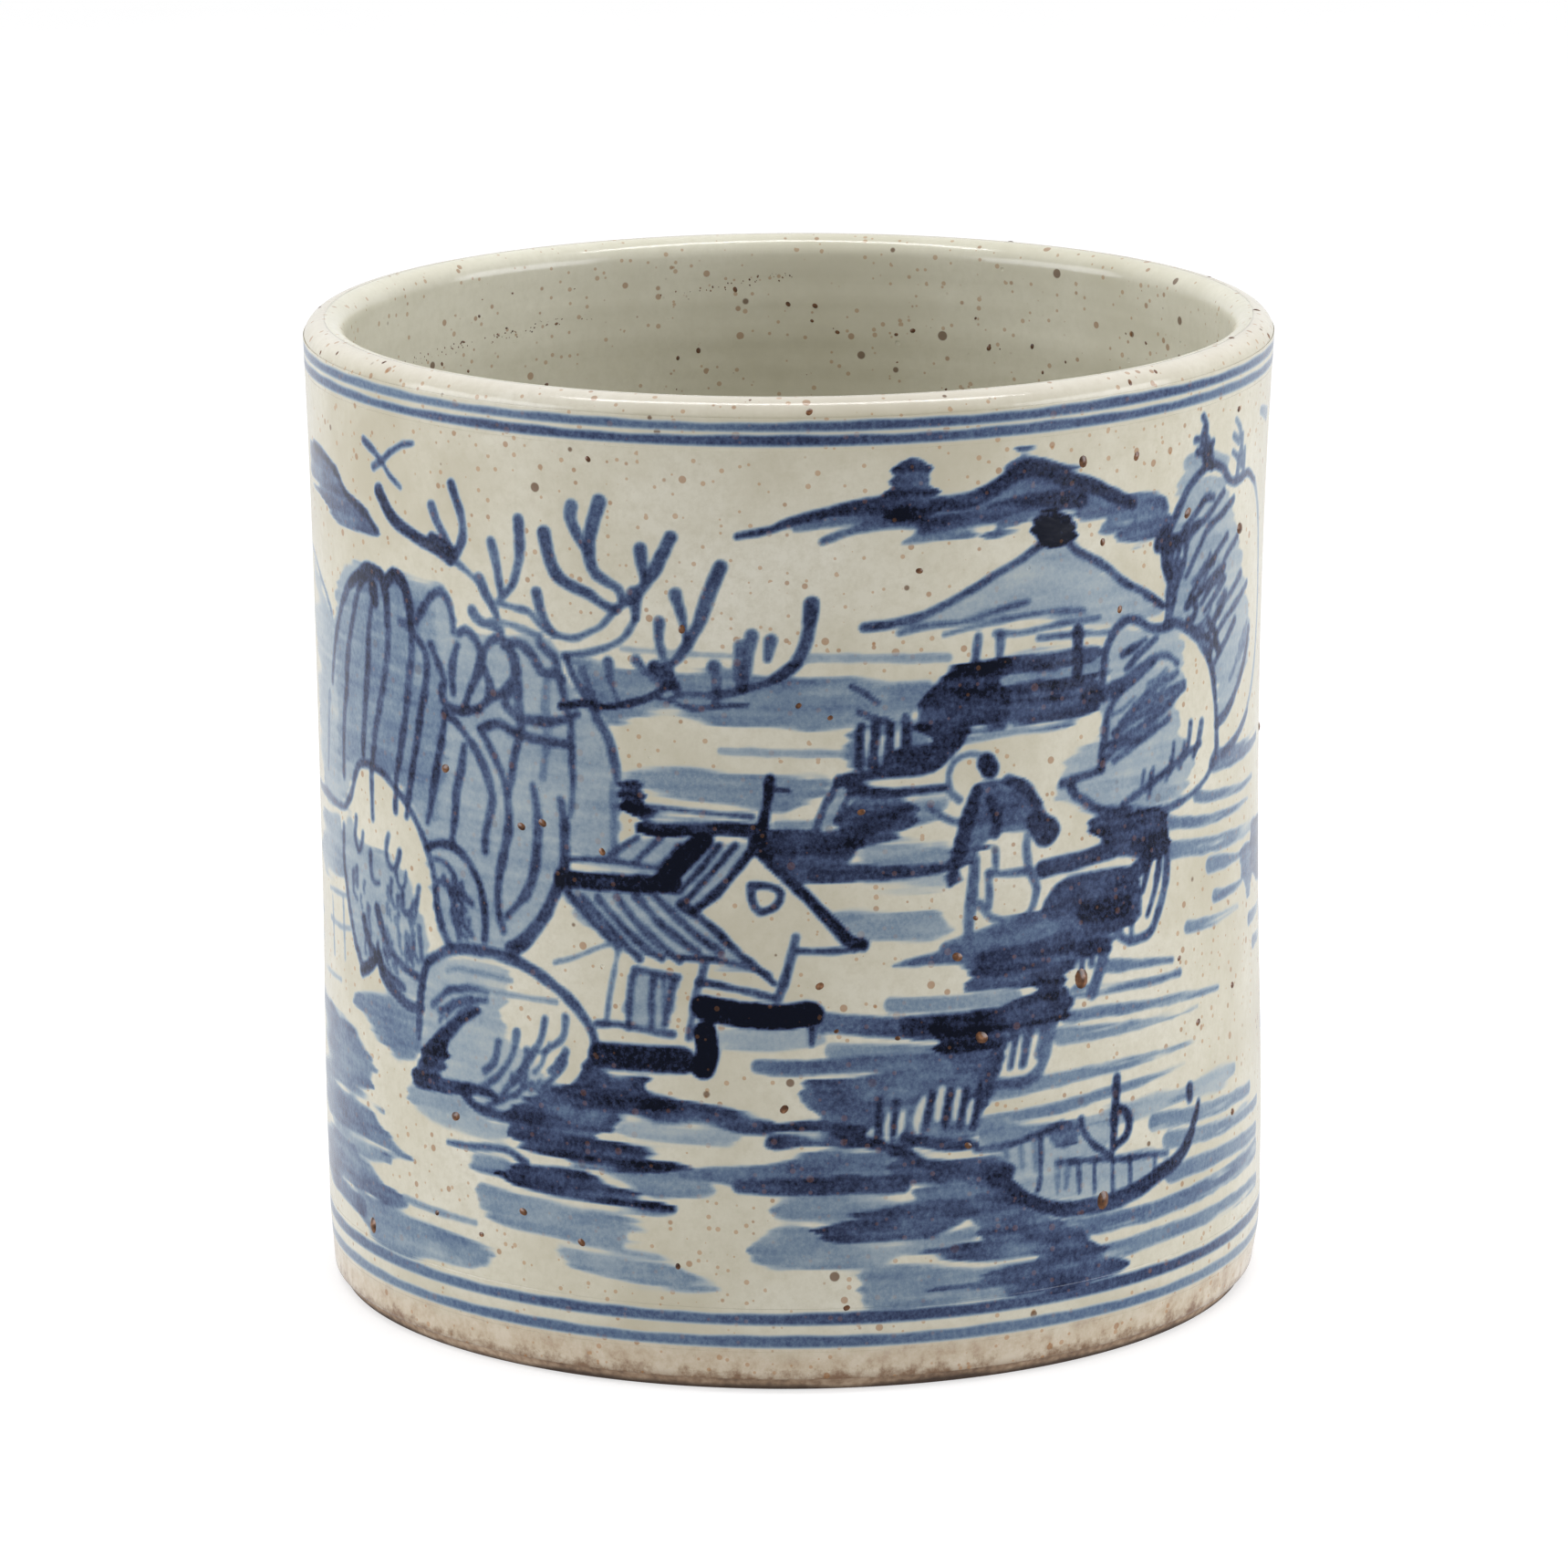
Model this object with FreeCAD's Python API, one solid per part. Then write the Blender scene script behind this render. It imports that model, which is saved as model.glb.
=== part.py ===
import FreeCAD, Part
import os

# Cylindrical brush pot in stoneware, in millimetres, +Z up. The origin is the centre of the face
# that the pot stands on. Every piece is turned, so each one is drawn as a half section in the
# XZ plane and revolved about Z. The order below is the potter's: clay, then glaze, then lines.

HEIGHT = 152.0          # table to the top of the lip, over the glaze
RIM_RADIUS = 74.9       # outside of the lip, over the glaze
LIP_THICKNESS = 6.5     # across the lip, over both coats of glaze
WAIST_RADIUS = 73.2     # narrowest part of the outside, over the glaze
FLOOR_RADIUS = 67.8     # inside of the wall just above the cove, over the glaze
COVE_RADIUS = 7.0       # hollow curve where wall meets floor, over the glaze
GLAZE = 0.4             # thickness of each coat of glaze

FLOOR_Z = 7.0           # top of the clay base inside the pot
SEAM_Z = 5.0            # ledge of the base that the wall stands on
GLAZE_LINE_Z = 2.0      # the outside glaze stops here, so that the foot doesn't stick to the kiln
GLAZE_LINE_RADIUS = 72.45
FOOT_RADIUS = 71.2      # outer edge of the resting face, inside the bevelled foot
RECESS_RADIUS = 54.0    # shaved hollow under the base
RECESS_DEPTH = 1.5

LINE_DEPTH = 0.2        # how far the painted cobalt lines sink into the glaze
RIM_LINES = [(148.1, 1.3), (145.95, 1.4)]     # height of each line's middle, and its width
FOOT_LINES = [(11.65, 1.5), (8.0, 1.5)]

LIP_RADIUS = LIP_THICKNESS / 2                # the lip is a half round
LIP_Z = HEIGHT - LIP_RADIUS
LIP_CENTRE = RIM_RADIUS - LIP_RADIUS
COVE_FOOT = FLOOR_RADIUS - COVE_RADIUS        # radius where the cove runs out into the floor
COVE_Z = FLOOR_Z + GLAZE + COVE_RADIUS        # height where the cove runs out into the wall
DIAGONAL = 0.5 ** 0.5
CLEAR = RIM_RADIUS + 5                        # radius of a cutting tool that clears the pot


# --- Drawing half sections --------------------------------------------------------------------

def at(radius, z):
    return FreeCAD.Vector(radius, 0, z)


def line(start, end):
    return Part.LineSegment(at(*start), at(*end)).toShape()


def curve(points):
    """A smooth edge through the points."""
    spline = Part.BSplineCurve()
    spline.interpolate([at(*point) for point in points])
    return spline.toShape()


def quarter(centre, radius, side, rise):
    """A quarter circle, level with its centre at one end and straight above or below at the other."""
    middle = (centre[0] + side * radius * DIAGONAL, centre[1] + rise * radius * DIAGONAL)
    level = (centre[0] + side * radius, centre[1])
    upright = (centre[0], centre[1] + rise * radius)
    return Part.Arc(at(*level), at(*middle), at(*upright)).toShape()


def turned(edges):
    """The solid that a closed half section sweeps about Z."""
    face = Part.Face(Part.Wire(edges))
    solid = face.revolve(FreeCAD.Vector(0, 0, 0), FreeCAD.Vector(0, 0, 1), 360)
    if solid.Volume < 0:
        solid.reverse()
    return solid


def disc(radius, low, high):
    return Part.makeCylinder(radius, high - low, FreeCAD.Vector(0, 0, low))


# --- The pot's outlines, at a depth under the glazed surface: 0 for glaze, GLAZE for clay -----
# The outside is faintly waisted and flares to the lip. The inside tapers slowly to the cove.

def outside(depth):
    outline = [(GLAZE_LINE_RADIUS, GLAZE_LINE_Z),
               (WAIST_RADIUS - 0.15, 7.5),
               (WAIST_RADIUS + 0.2, 19.0),
               (WAIST_RADIUS, 64.0),
               (WAIST_RADIUS + 0.3, 104.0),
               (WAIST_RADIUS + 0.95, 130.0),
               (RIM_RADIUS, LIP_Z)]
    return curve([(radius - depth, z) for radius, z in outline])


def inside(depth):
    outline = [(LIP_CENTRE - LIP_RADIUS, LIP_Z),
               (FLOOR_RADIUS + 0.3, 109.0),
               (FLOOR_RADIUS + 0.1, 59.0),
               (FLOOR_RADIUS, COVE_Z)]
    return curve([(radius + depth, z) for radius, z in outline])


def outer_lip(depth):
    return quarter((LIP_CENTRE, LIP_Z), LIP_RADIUS - depth, 1, 1)


def inner_lip(depth):
    return quarter((LIP_CENTRE, LIP_Z), LIP_RADIUS - depth, -1, 1)


def cove(depth):
    return quarter((COVE_FOOT, COVE_Z), COVE_RADIUS + depth, 1, -1)


# --- Clay: a wall thrown as a tube and luted on to a base with a bevelled foot ----------------
# The base is a thick disc, shaved hollow underneath. The wall stands on a ledge round its edge.

clay = turned([
    line((0, RECESS_DEPTH), (RECESS_RADIUS - RECESS_DEPTH, RECESS_DEPTH)),
    line((RECESS_RADIUS - RECESS_DEPTH, RECESS_DEPTH), (RECESS_RADIUS, 0)),
    line((RECESS_RADIUS, 0), (FOOT_RADIUS, 0)),
    line((FOOT_RADIUS, 0), (GLAZE_LINE_RADIUS - GLAZE, GLAZE_LINE_Z)),
    outside(GLAZE),
    outer_lip(GLAZE),
    inner_lip(GLAZE),
    inside(GLAZE),
    cove(GLAZE),
    line((COVE_FOOT, FLOOR_Z), (0, FLOOR_Z)),
    line((0, FLOOR_Z), (0, RECESS_DEPTH)),
])
base_space = disc(CLEAR, 0, SEAM_Z).fuse(disc(COVE_FOOT, 0, FLOOR_Z)).removeSplitter()
clay_base = clay.common(base_space)
clay_wall = clay.cut(base_space)

# --- Inner glaze: poured in and out, from the top of the lip down to the floor ----------------

inner_glaze = turned([
    inner_lip(0),
    inside(0),
    cove(0),
    line((COVE_FOOT, FLOOR_Z + GLAZE), (0, FLOOR_Z + GLAZE)),
    line((0, FLOOR_Z + GLAZE), (0, FLOOR_Z)),
    line((0, FLOOR_Z), (COVE_FOOT, FLOOR_Z)),
    cove(GLAZE),
    inside(GLAZE),
    inner_lip(GLAZE),
    line((LIP_CENTRE, HEIGHT - GLAZE), (LIP_CENTRE, HEIGHT)),
])

# --- Outer glaze: dipped, from the top of the lip down to the glaze line above the foot -------

outer_coat = turned([
    outside(0),
    outer_lip(0),
    line((LIP_CENTRE, HEIGHT), (LIP_CENTRE, HEIGHT - GLAZE)),
    outer_lip(GLAZE),
    outside(GLAZE),
    line((GLAZE_LINE_RADIUS - GLAZE, GLAZE_LINE_Z), (GLAZE_LINE_RADIUS, GLAZE_LINE_Z)),
])

# --- Cobalt border lines: two brushed rings under the lip and two above the foot --------------
# Each is a shallow band of the outer coat's own surface, so it lies flush with the glaze.


def painted_rings(lines):
    bands = []
    for middle, width in lines:
        low = middle - width / 2
        high = middle + width / 2
        band = outer_coat.common(disc(CLEAR, low, high))
        surface = max(vertex.X for vertex in band.Vertexes)
        bands.append(band.cut(disc(surface - LINE_DEPTH, low, high)))
    return Part.makeCompound(bands)


rim_border_lines = painted_rings(RIM_LINES)
foot_border_lines = painted_rings(FOOT_LINES)
outer_glaze = outer_coat.cut(rim_border_lines).cut(foot_border_lines)

NODES = {
    "clay_base": clay_base,
    "clay_wall": clay_wall,
    "inner_glaze": inner_glaze,
    "outer_glaze": outer_glaze,
    "rim_border_lines": rim_border_lines,
    "foot_border_lines": foot_border_lines,
}

os.makedirs("parts", exist_ok=True)
for name, shape in NODES.items():
    shape.exportStep(f"parts/{name}.step")
    print(f"{name}: valid {shape.isValid()}, solids {len(shape.Solids)}, {shape.Volume / 1000:.2f} cm3")
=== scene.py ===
from math import cos, pi, radians, sin, tau

import bpy
import numpy as np
from mathutils import Matrix, Vector


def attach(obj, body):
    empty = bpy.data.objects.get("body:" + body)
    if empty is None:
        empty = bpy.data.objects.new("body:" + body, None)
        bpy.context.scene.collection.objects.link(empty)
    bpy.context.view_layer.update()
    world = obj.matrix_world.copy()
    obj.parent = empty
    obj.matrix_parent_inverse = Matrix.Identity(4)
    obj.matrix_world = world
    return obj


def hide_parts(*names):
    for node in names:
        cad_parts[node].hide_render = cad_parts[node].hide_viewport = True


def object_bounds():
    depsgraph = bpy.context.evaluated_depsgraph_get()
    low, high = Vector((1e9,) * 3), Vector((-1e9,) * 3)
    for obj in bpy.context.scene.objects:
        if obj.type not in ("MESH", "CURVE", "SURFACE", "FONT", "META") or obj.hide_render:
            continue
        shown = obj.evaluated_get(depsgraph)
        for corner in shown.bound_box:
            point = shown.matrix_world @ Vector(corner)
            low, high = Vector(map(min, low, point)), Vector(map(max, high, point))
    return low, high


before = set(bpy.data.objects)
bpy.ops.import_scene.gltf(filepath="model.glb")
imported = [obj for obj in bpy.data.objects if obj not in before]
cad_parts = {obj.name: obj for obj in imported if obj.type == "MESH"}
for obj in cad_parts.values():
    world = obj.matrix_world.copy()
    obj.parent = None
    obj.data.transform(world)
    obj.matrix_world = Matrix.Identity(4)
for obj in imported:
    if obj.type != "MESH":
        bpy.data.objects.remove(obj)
cad_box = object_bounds()


# The thrown wall of the pot, grogged stoneware drawn up on the wheel.
# It is clay between two coats of glaze, so it keeps its turned shape, and
# only its finish is set here: matt, warm grey clay with darker grains of grog.
def linear(colour):
    """An sRGB hex colour as linear RGBA."""
    parts = [int(colour[k : k + 2], 16) / 255 for k in (1, 3, 5)]
    return [p / 12.92 if p <= 0.04045 else ((p + 0.055) / 1.055) ** 2.4 for p in parts] + [1.0]


def add(tree, kind, sockets=None, **settings):
    """Adds a shader node with its settings, socket values and links, and returns its outputs."""
    made = tree.nodes.new("ShaderNode" + kind)
    for key, value in settings.items():
        setattr(made, key, value)
    for key, value in (sockets or {}).items():
        if isinstance(value, bpy.types.NodeSocket):
            tree.links.new(value, made.inputs[key])
        else:
            made.inputs[key].default_value = value
    return made.outputs


def ramp(tree, factor, *stops):
    """A colour ramp over (place, sRGB hex colour) stops."""
    out = add(tree, "ValToRGB", {"Fac": factor})
    band = out[0].node.color_ramp
    while len(band.elements) < len(stops):
        band.elements.new(1.0)
    for element, (place, colour) in zip(band.elements, stops):
        element.position = place
        element.color = linear(colour)
    return out[0]


def blank(name):
    """An empty node material, its tree, its object coordinates and its output node's surface."""
    finish = bpy.data.materials.new(name)
    finish.use_nodes = True
    tree = finish.node_tree
    tree.nodes.clear()
    spot = add(tree, "TexCoord")["Object"]
    surface = tree.nodes.new("ShaderNodeOutputMaterial").inputs["Surface"]
    return finish, tree, spot, surface


GROG = 0.0012  # metres across one grain
bare_clay, tree, spot, surface = blank("thrown_grogged_stoneware_bare")
grain = add(tree, "TexNoise", {"Vector": spot, "Scale": 1 / GROG, "Detail": 6.0})["Fac"]
clay_colour = ramp(tree, grain, (0.3, "#6d5a4c"), (0.5, "#86705f"), (0.72, "#a08872"))
rough_clay = add(tree, "Bump", {"Height": grain, "Strength": 0.5, "Distance": 0.0002})[0]
clay_shader = {"Base Color": clay_colour, "Normal": rough_clay, "Roughness": 0.85, "IOR": 1.5}
tree.links.new(add(tree, "BsdfPrincipled", clay_shader)[0], surface)
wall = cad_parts["clay_wall"]
wall.data.materials.clear()
wall.data.materials.append(bare_clay)


# The foot and floor slab: the same clay, left bare where the pot stood in the
# kiln. It is turned on the wheel, with a bevelled edge and a shallow recess,
# and its edge is toasted brown and worn; the darkest band at the very bottom
# is partly that toasting and partly painted shade where the foot turns under.
MM = 0.001
FOOT_RADIUS = 71.2
BEVEL_RADIUS, BEVEL_Z = 72.45, 2.0
RECESS_RADIUS, RECESS_DEPTH = 54.0, 1.5
SEAM_Z, FLOOR_Z = 5.0, 7.0
CLAY_FLOOR_RADIUS = 60.0
SWAY = 0.32  # how far the wall leans off true and back
TIPPED_LIP = 0.36  # how much higher the lip is at the front than at mid height
rim_z = cad_box[1][2] / MM


def ease(x, low, high):
    """0 below low, 1 above high, smooth between."""
    t = np.clip((np.asarray(x, float) - low) / (high - low), 0, 1)
    return t * t * (3 - 2 * t)


def thrown(r, z, angle):
    """Where a point of the pot is, in metres: the angle runs round from the front, and the
    wall has the small lean and tipped lip of a hand-thrown pot."""
    lean = SWAY * np.cos(tau * z / 195) - SWAY * (1 - ease(z, 0, 8))
    up = TIPPED_LIP * np.cos(angle) * ease(z, 90, rim_z)
    return np.stack([r * np.sin(angle) + lean, -r * np.cos(angle), z + up], -1) * MM


def turned(name, outline, angles, finish):
    """A closed outline of (radius, height) in mm, run round the pot, as a mesh object.
    The outline goes round its section so that its surface faces out of the material."""
    r, z = np.array(outline, float).T
    n, m = len(r), len(angles)
    grid = thrown(r[:, None], z[:, None] + 0 * angles[None], angles[None] + 0 * r[:, None])
    k = np.arange(n * m).reshape(n, m)
    next_k = np.roll(k, -1, 0)
    quads = np.stack([k, np.roll(k, -1, 1), np.roll(next_k, -1, 1), next_k], -1).reshape(-1, 4)
    mesh = bpy.data.meshes.new(name)
    mesh.vertices.add(n * m)
    mesh.vertices.foreach_set("co", grid.ravel().astype(np.float32))
    mesh.loops.add(quads.size)
    mesh.loops.foreach_set("vertex_index", quads.ravel().astype(np.int32))
    mesh.polygons.add(len(quads))
    mesh.polygons.foreach_set("loop_start", np.arange(0, quads.size, 4, dtype=np.int32))
    mesh.update(calc_edges=True)
    mesh.validate()
    mesh.shade_smooth()
    mesh.materials.append(finish)
    made = bpy.data.objects.new(name, mesh)
    bpy.context.scene.collection.objects.link(made)
    return made


def weld(made, gap=1e-6):
    """Joins the points that meet on the pot's axis."""
    import bmesh

    work = bmesh.new()
    work.from_mesh(made.data)
    bmesh.ops.remove_doubles(work, verts=work.verts, dist=gap)
    work.to_mesh(made.data)
    work.free()


def arc(centre_r, centre_z, radius, start, end, count):
    """Points of a round stretch of an outline, by degrees up from straight outward."""
    turn = np.radians(np.linspace(start, end, count))
    return list(zip(centre_r + radius * np.cos(turn), centre_z + radius * np.sin(turn)))


coarse = np.linspace(-pi, pi, 256, endpoint=False)
foot_outline = [(0, RECESS_DEPTH), (RECESS_RADIUS - 1.5, RECESS_DEPTH)]
foot_outline += arc(RECESS_RADIUS + 0.8, 0.8, 0.8, 170, 270, 5)
foot_outline += arc(FOOT_RADIUS - 0.5, 0.5, 0.5, -90, 0, 5)
foot_outline += [(BEVEL_RADIUS - 0.4, BEVEL_Z), (BEVEL_RADIUS - 0.5, SEAM_Z)]
foot_outline += [(CLAY_FLOOR_RADIUS + 2, SEAM_Z), (CLAY_FLOOR_RADIUS, FLOOR_Z), (0, FLOOR_Z)]

toasted_clay, tree, spot, surface = blank("turned_stoneware_foot_toasted")
grain = add(tree, "TexNoise", {"Vector": spot, "Scale": 1 / GROG, "Detail": 6.0})["Fac"]
scorch = add(tree, "TexNoise", {"Vector": spot, "Scale": 1 / 0.018, "Detail": 4.0})["Fac"]
both = add(tree, "Math", {0: grain, 1: scorch}, operation="ADD")[0]
half = add(tree, "Math", {0: both, 1: 0.5}, operation="MULTIPLY")[0]
clay_colour = ramp(tree, half, (0.36, "#6b5544"), (0.5, "#8c745d"), (0.66, "#ab967f"))
height = add(tree, "SeparateXYZ", {"Vector": spot})["Z"]
uneven = add(tree, "Math", {0: scorch, 1: 0.0016, 2: height}, operation="MULTIPLY_ADD")[0]
# Painted shade: the lowest millimetre or so goes dark brown, partly toasted clay and partly the shade under the
# foot's edge.
toast_and_shade_range = {"Value": uneven, "From Min": 0.0012, "From Max": 0.0019, "To Min": 0.9, "To Max": 0.0}
edge = add(tree, "MapRange", toast_and_shade_range)[0]
clay_colour = add(tree, "Mix", {0: edge, 6: clay_colour, 7: linear("#3f3128")}, data_type="RGBA")[2]
rough_clay = add(tree, "Bump", {"Height": grain, "Strength": 0.7, "Distance": 0.0003})[0]
clay_shader = {"Base Color": clay_colour, "Normal": rough_clay, "Roughness": 0.8, "IOR": 1.5}
tree.links.new(add(tree, "BsdfPrincipled", clay_shader)[0], surface)

foot = turned("clay_foot_and_floor", foot_outline, coarse, toasted_clay)
weld(foot)
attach(foot, "root")
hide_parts("clay_base")


# The glaze inside: a clear-grey feldspar glaze poured in and tipped out, so it
# covers the floor, the cove and the wall up to the crown of the lip. It is
# glossy, with faint throwing rings, brown iron specks and small pits.
GLAZE = 0.4
LIP = 3.25  # radius of the half-round lip
LIP_R, LIP_Z = 71.65, rim_z - LIP
COVE = 7.0
GLAZE_FLOOR = FLOOR_Z + GLAZE
INSIDE_Z = np.array([GLAZE_FLOOR + COVE, 59, 109, LIP_Z])
INSIDE_R = np.array([67.8, 67.9, 68.1, LIP_R - LIP])
THROWING_RING = 5.5  # mm from one finger ridge to the next
RIDGE = 0.03


def flowing(z, at, values):
    """A smooth curve through the values at the given heights."""
    slope = np.gradient(values, at)
    k = np.clip(np.searchsorted(at, z) - 1, 0, len(at) - 2)
    span = at[k + 1] - at[k]
    t = (z - at[k]) / span
    return (
        values[k] * (1 + 2 * t) * (1 - t) ** 2
        + slope[k] * span * t * (1 - t) ** 2
        + values[k + 1] * t * t * (3 - 2 * t)
        + slope[k + 1] * span * t * t * (t - 1)
    )


def iron_specks(tree, spot, cell, largest):
    """Where iron grains have bled through the glaze: a random dot in some of the cells."""
    dots = add(tree, "TexVoronoi", {"Vector": spot, "Scale": 1 / cell}, feature="F1")
    chance = add(tree, "SeparateColor", {"Color": dots["Color"]})
    reach = add(
        tree,
        "MapRange",
        {"Value": chance[0], "From Min": 0.4, "From Max": 1.0, "To Min": 0.0, "To Max": largest / cell},
    )[0]
    near = add(tree, "Math", {0: dots["Distance"], 1: reach}, operation="SUBTRACT")[0]
    return add(
        tree,
        "MapRange",
        {"Value": near, "From Min": -0.25 * largest / cell, "From Max": 0.0, "To Min": 1.0, "To Max": 0.0},
        interpolation_type="SMOOTHSTEP",
    )[0]


def blend(tree, share, under, over):
    """One colour over another by share."""
    out = add(tree, "Mix", {0: share, 6: under, 7: over}, data_type="RGBA")
    return out[2]


def glaze_body(tree, spot, pale, mid, deep):
    """The mottled colour of a glaze over grey clay, before anything painted shows in it."""
    cloud = add(tree, "TexNoise", {"Vector": spot, "Scale": 1 / 0.03, "Detail": 5.0, "Roughness": 0.6})
    tone = ramp(tree, cloud["Fac"], (0.3, deep), (0.5, mid), (0.7, pale))
    frost = add(
        tree,
        "TexNoise",
        {"Vector": spot, "Scale": 1 / 0.0016, "Detail": 5.0, "Roughness": 0.75},
    )["Fac"]
    share = add(tree, "MapRange", {"Value": frost, "From Min": 0.42, "From Max": 0.72, "To Max": 0.6})[0]
    return blend(tree, share, tone, linear(deep))


def speckled(tree, spot, colour, showing=1.0):
    """The colour with fine, middling and coarse iron specks bled through it."""
    for cell, largest, strength, tint in (
        (0.0014, 0.0005, 0.5, "#a06d38"),
        (0.0026, 0.00072, 0.62, "#8f5f33"),
        (0.0062, 0.00095, 0.8, "#5c3a22"),
    ):
        dots = iron_specks(tree, spot, cell, largest)
        share = add(tree, "Math", {0: dots, 1: strength * showing}, operation="MULTIPLY")[0]
        colour = blend(tree, share, colour, linear(tint))
    return colour


def glaze_skin(tree, spot):
    """The bump of a fired glaze: a soft orange-peel surface and a few open pits."""
    peel = add(tree, "TexNoise", {"Vector": spot, "Scale": 1 / 0.004, "Detail": 3.0})["Fac"]
    soft = add(tree, "Bump", {"Height": peel, "Strength": 0.35, "Distance": 0.0002})[0]
    pits = iron_specks(tree, spot, 0.009, 0.0005)
    return add(
        tree, "Bump", {"Height": pits, "Normal": soft, "Strength": 0.6, "Distance": 0.0002}, invert=True
    )[0]


poured_glaze, tree, spot, surface = blank("poured_feldspar_glaze_inside")
# Partly the glaze's own colour, partly painted light: these colours are set lighter than the outer glaze's to
# stand in for light bounced round inside the pot.
colour = glaze_body(tree, spot, "#dcd9c9", "#d2cfbe", "#c4c0ac")
rings = add(tree, "Mapping", {"Vector": spot, "Scale": (6.0, 6.0, 1 / (THROWING_RING * MM))})[0]
finger = add(tree, "TexNoise", {"Vector": rings, "Scale": 1.0, "Detail": 3.0})["Fac"]
thin = ramp(tree, finger, (0.35, "#bfbba6"), (0.65, "#dddac9"))
colour = blend(tree, 0.3, colour, thin)
colour = speckled(tree, spot, colour)
glaze_shader = {"Base Color": colour, "Normal": glaze_skin(tree, spot), "Roughness": 0.17, "IOR": 1.5}
tree.links.new(add(tree, "BsdfPrincipled", glaze_shader)[0], surface)

inside_rise = np.linspace(GLAZE_FLOOR + COVE + 1.5, LIP_Z - 1, 110)
inside_wall = flowing(inside_rise, INSIDE_Z, INSIDE_R) + RIDGE * np.sin(tau * inside_rise / THROWING_RING)
cove = [(r, z) for r, z in arc(INSIDE_R[0] - COVE, GLAZE_FLOOR + COVE, COVE, -90, 0, 14)]
crown = arc(LIP_R, LIP_Z, LIP, 180, 90, 14)
under_glaze = [(LIP_R, rim_z - GLAZE)] + arc(LIP_R, LIP_Z, LIP - GLAZE, 90, 180, 8)
under_glaze += [(r + GLAZE, z) for r, z in zip(INSIDE_R[::-1], INSIDE_Z[::-1])][1:]
under_glaze += arc(INSIDE_R[0] - COVE, GLAZE_FLOOR + COVE, COVE + GLAZE, 0, -90, 8)[1:]
inner_outline = [(0, GLAZE_FLOOR), (30, GLAZE_FLOOR)] + cove + list(zip(inside_wall, inside_rise))
inner_outline += crown + under_glaze + [(0, FLOOR_Z)]
inner_glaze = turned("inner_glaze", inner_outline[::-1], coarse, poured_glaze)
weld(inner_glaze)
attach(inner_glaze, "root")
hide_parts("inner_glaze")


# The glaze outside, with the landscape under it: cobalt is brushed on the raw
# clay, and the clear glaze fired over it. The colour sits in the glaze, blue-grey
# where the brush was wet and pale, near black where the pigment is heaped.
BAND = 73.5  # mm, the radius at which the drawing's lengths round the pot are true
ROUND = tau * BAND
OUTSIDE_Z = np.array([BEVEL_Z, 7.5, 19, 64, 104, 130, LIP_Z])
OUTSIDE_R = np.array([BEVEL_RADIUS, 73.05, 73.4, 73.2, 73.5, 74.15, LIP_R + LIP])
FINE = 0.4  # mm between points of the glaze where the drawing is
FRONT = 116.0  # mm each side of the front where the brush marks are closest
SOFT_EDGE = 0.9  # mm over which a brush mark fades out at its edge
HEAPED = 0.9  # the load that crossing strokes build up to
MARKED_BELOW = 1.0  # mm below the foot: the level that the drawing's heights are written from

across = np.concatenate(
    [
        np.arange(-ROUND / 2, -FRONT, 2 * FINE),
        np.arange(-FRONT, FRONT, FINE),
        np.arange(FRONT, ROUND / 2 - FINE, 2 * FINE),
    ]
)
rise = np.arange(BEVEL_Z, LIP_Z, FINE)
ink = np.zeros((len(rise), len(across)))
chance = np.random.default_rng(7)


def ripple(length, height):
    """A smooth random field over the unrolled wall, about -1 to 1, with grains of that size in mm."""
    knots_z = np.arange(-height, rim_z + 2 * height, height)
    knots_s = np.arange(-ROUND / 2 - length, ROUND / 2 + 2 * length, length)
    rough = chance.uniform(-1.6, 1.6, (len(knots_z), len(knots_s)))
    lines = np.array([np.interp(across, knots_s, row) for row in rough])
    low = np.clip(np.searchsorted(knots_z, rise) - 1, 0, len(knots_z) - 2)
    share = ease(rise, knots_z[low], knots_z[low + 1])[:, None]
    return lines[low] * (1 - share) + lines[low + 1] * share


ragged = 0.8 * ripple(2.4, 2.0) + 0.3 * ripple(0.9, 0.9)
streaks = 0.6 * ripple(13, 0.9) + 0.5 * ripple(6, 0.8)
pooled = 0.6 * ripple(7, 5) + 0.4 * ripple(2.5, 2)


def flowing_path(points, closed=False):
    """Points about 0.8 mm apart on a smooth curve through the given ones, and how far along each is."""
    if closed:
        p = np.concatenate([points[-1:], points, points[:2]])
    else:
        p = np.concatenate([2 * points[:1] - points[1:2], points, 2 * points[-1:] - points[-2:-1]])
    path, share = [], []
    runs = len(p) - 3
    for k in range(runs):
        steps = max(2, int(np.hypot(*(p[k + 2] - p[k + 1])) / 0.8))
        t = np.arange(steps)[:, None] / steps
        a, b, c, d = p[k : k + 4]
        curve = b + 0.5 * t * (c - a + t * (2 * a - 5 * b + 4 * c - d + t * (3 * b - a - 3 * c + d)))
        path.append(curve)
        share.append((k + t[:, 0]) / runs)
    return np.concatenate(path + [p[-2:-1]]), np.concatenate(share + [[1.0]])


def window(low, high):
    """The part of the wall between two corners in mm, as slices."""
    s = slice(*np.searchsorted(across, (low[0], high[0])))
    z = slice(*np.searchsorted(rise, (low[1], high[1])))
    return z, s


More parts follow.
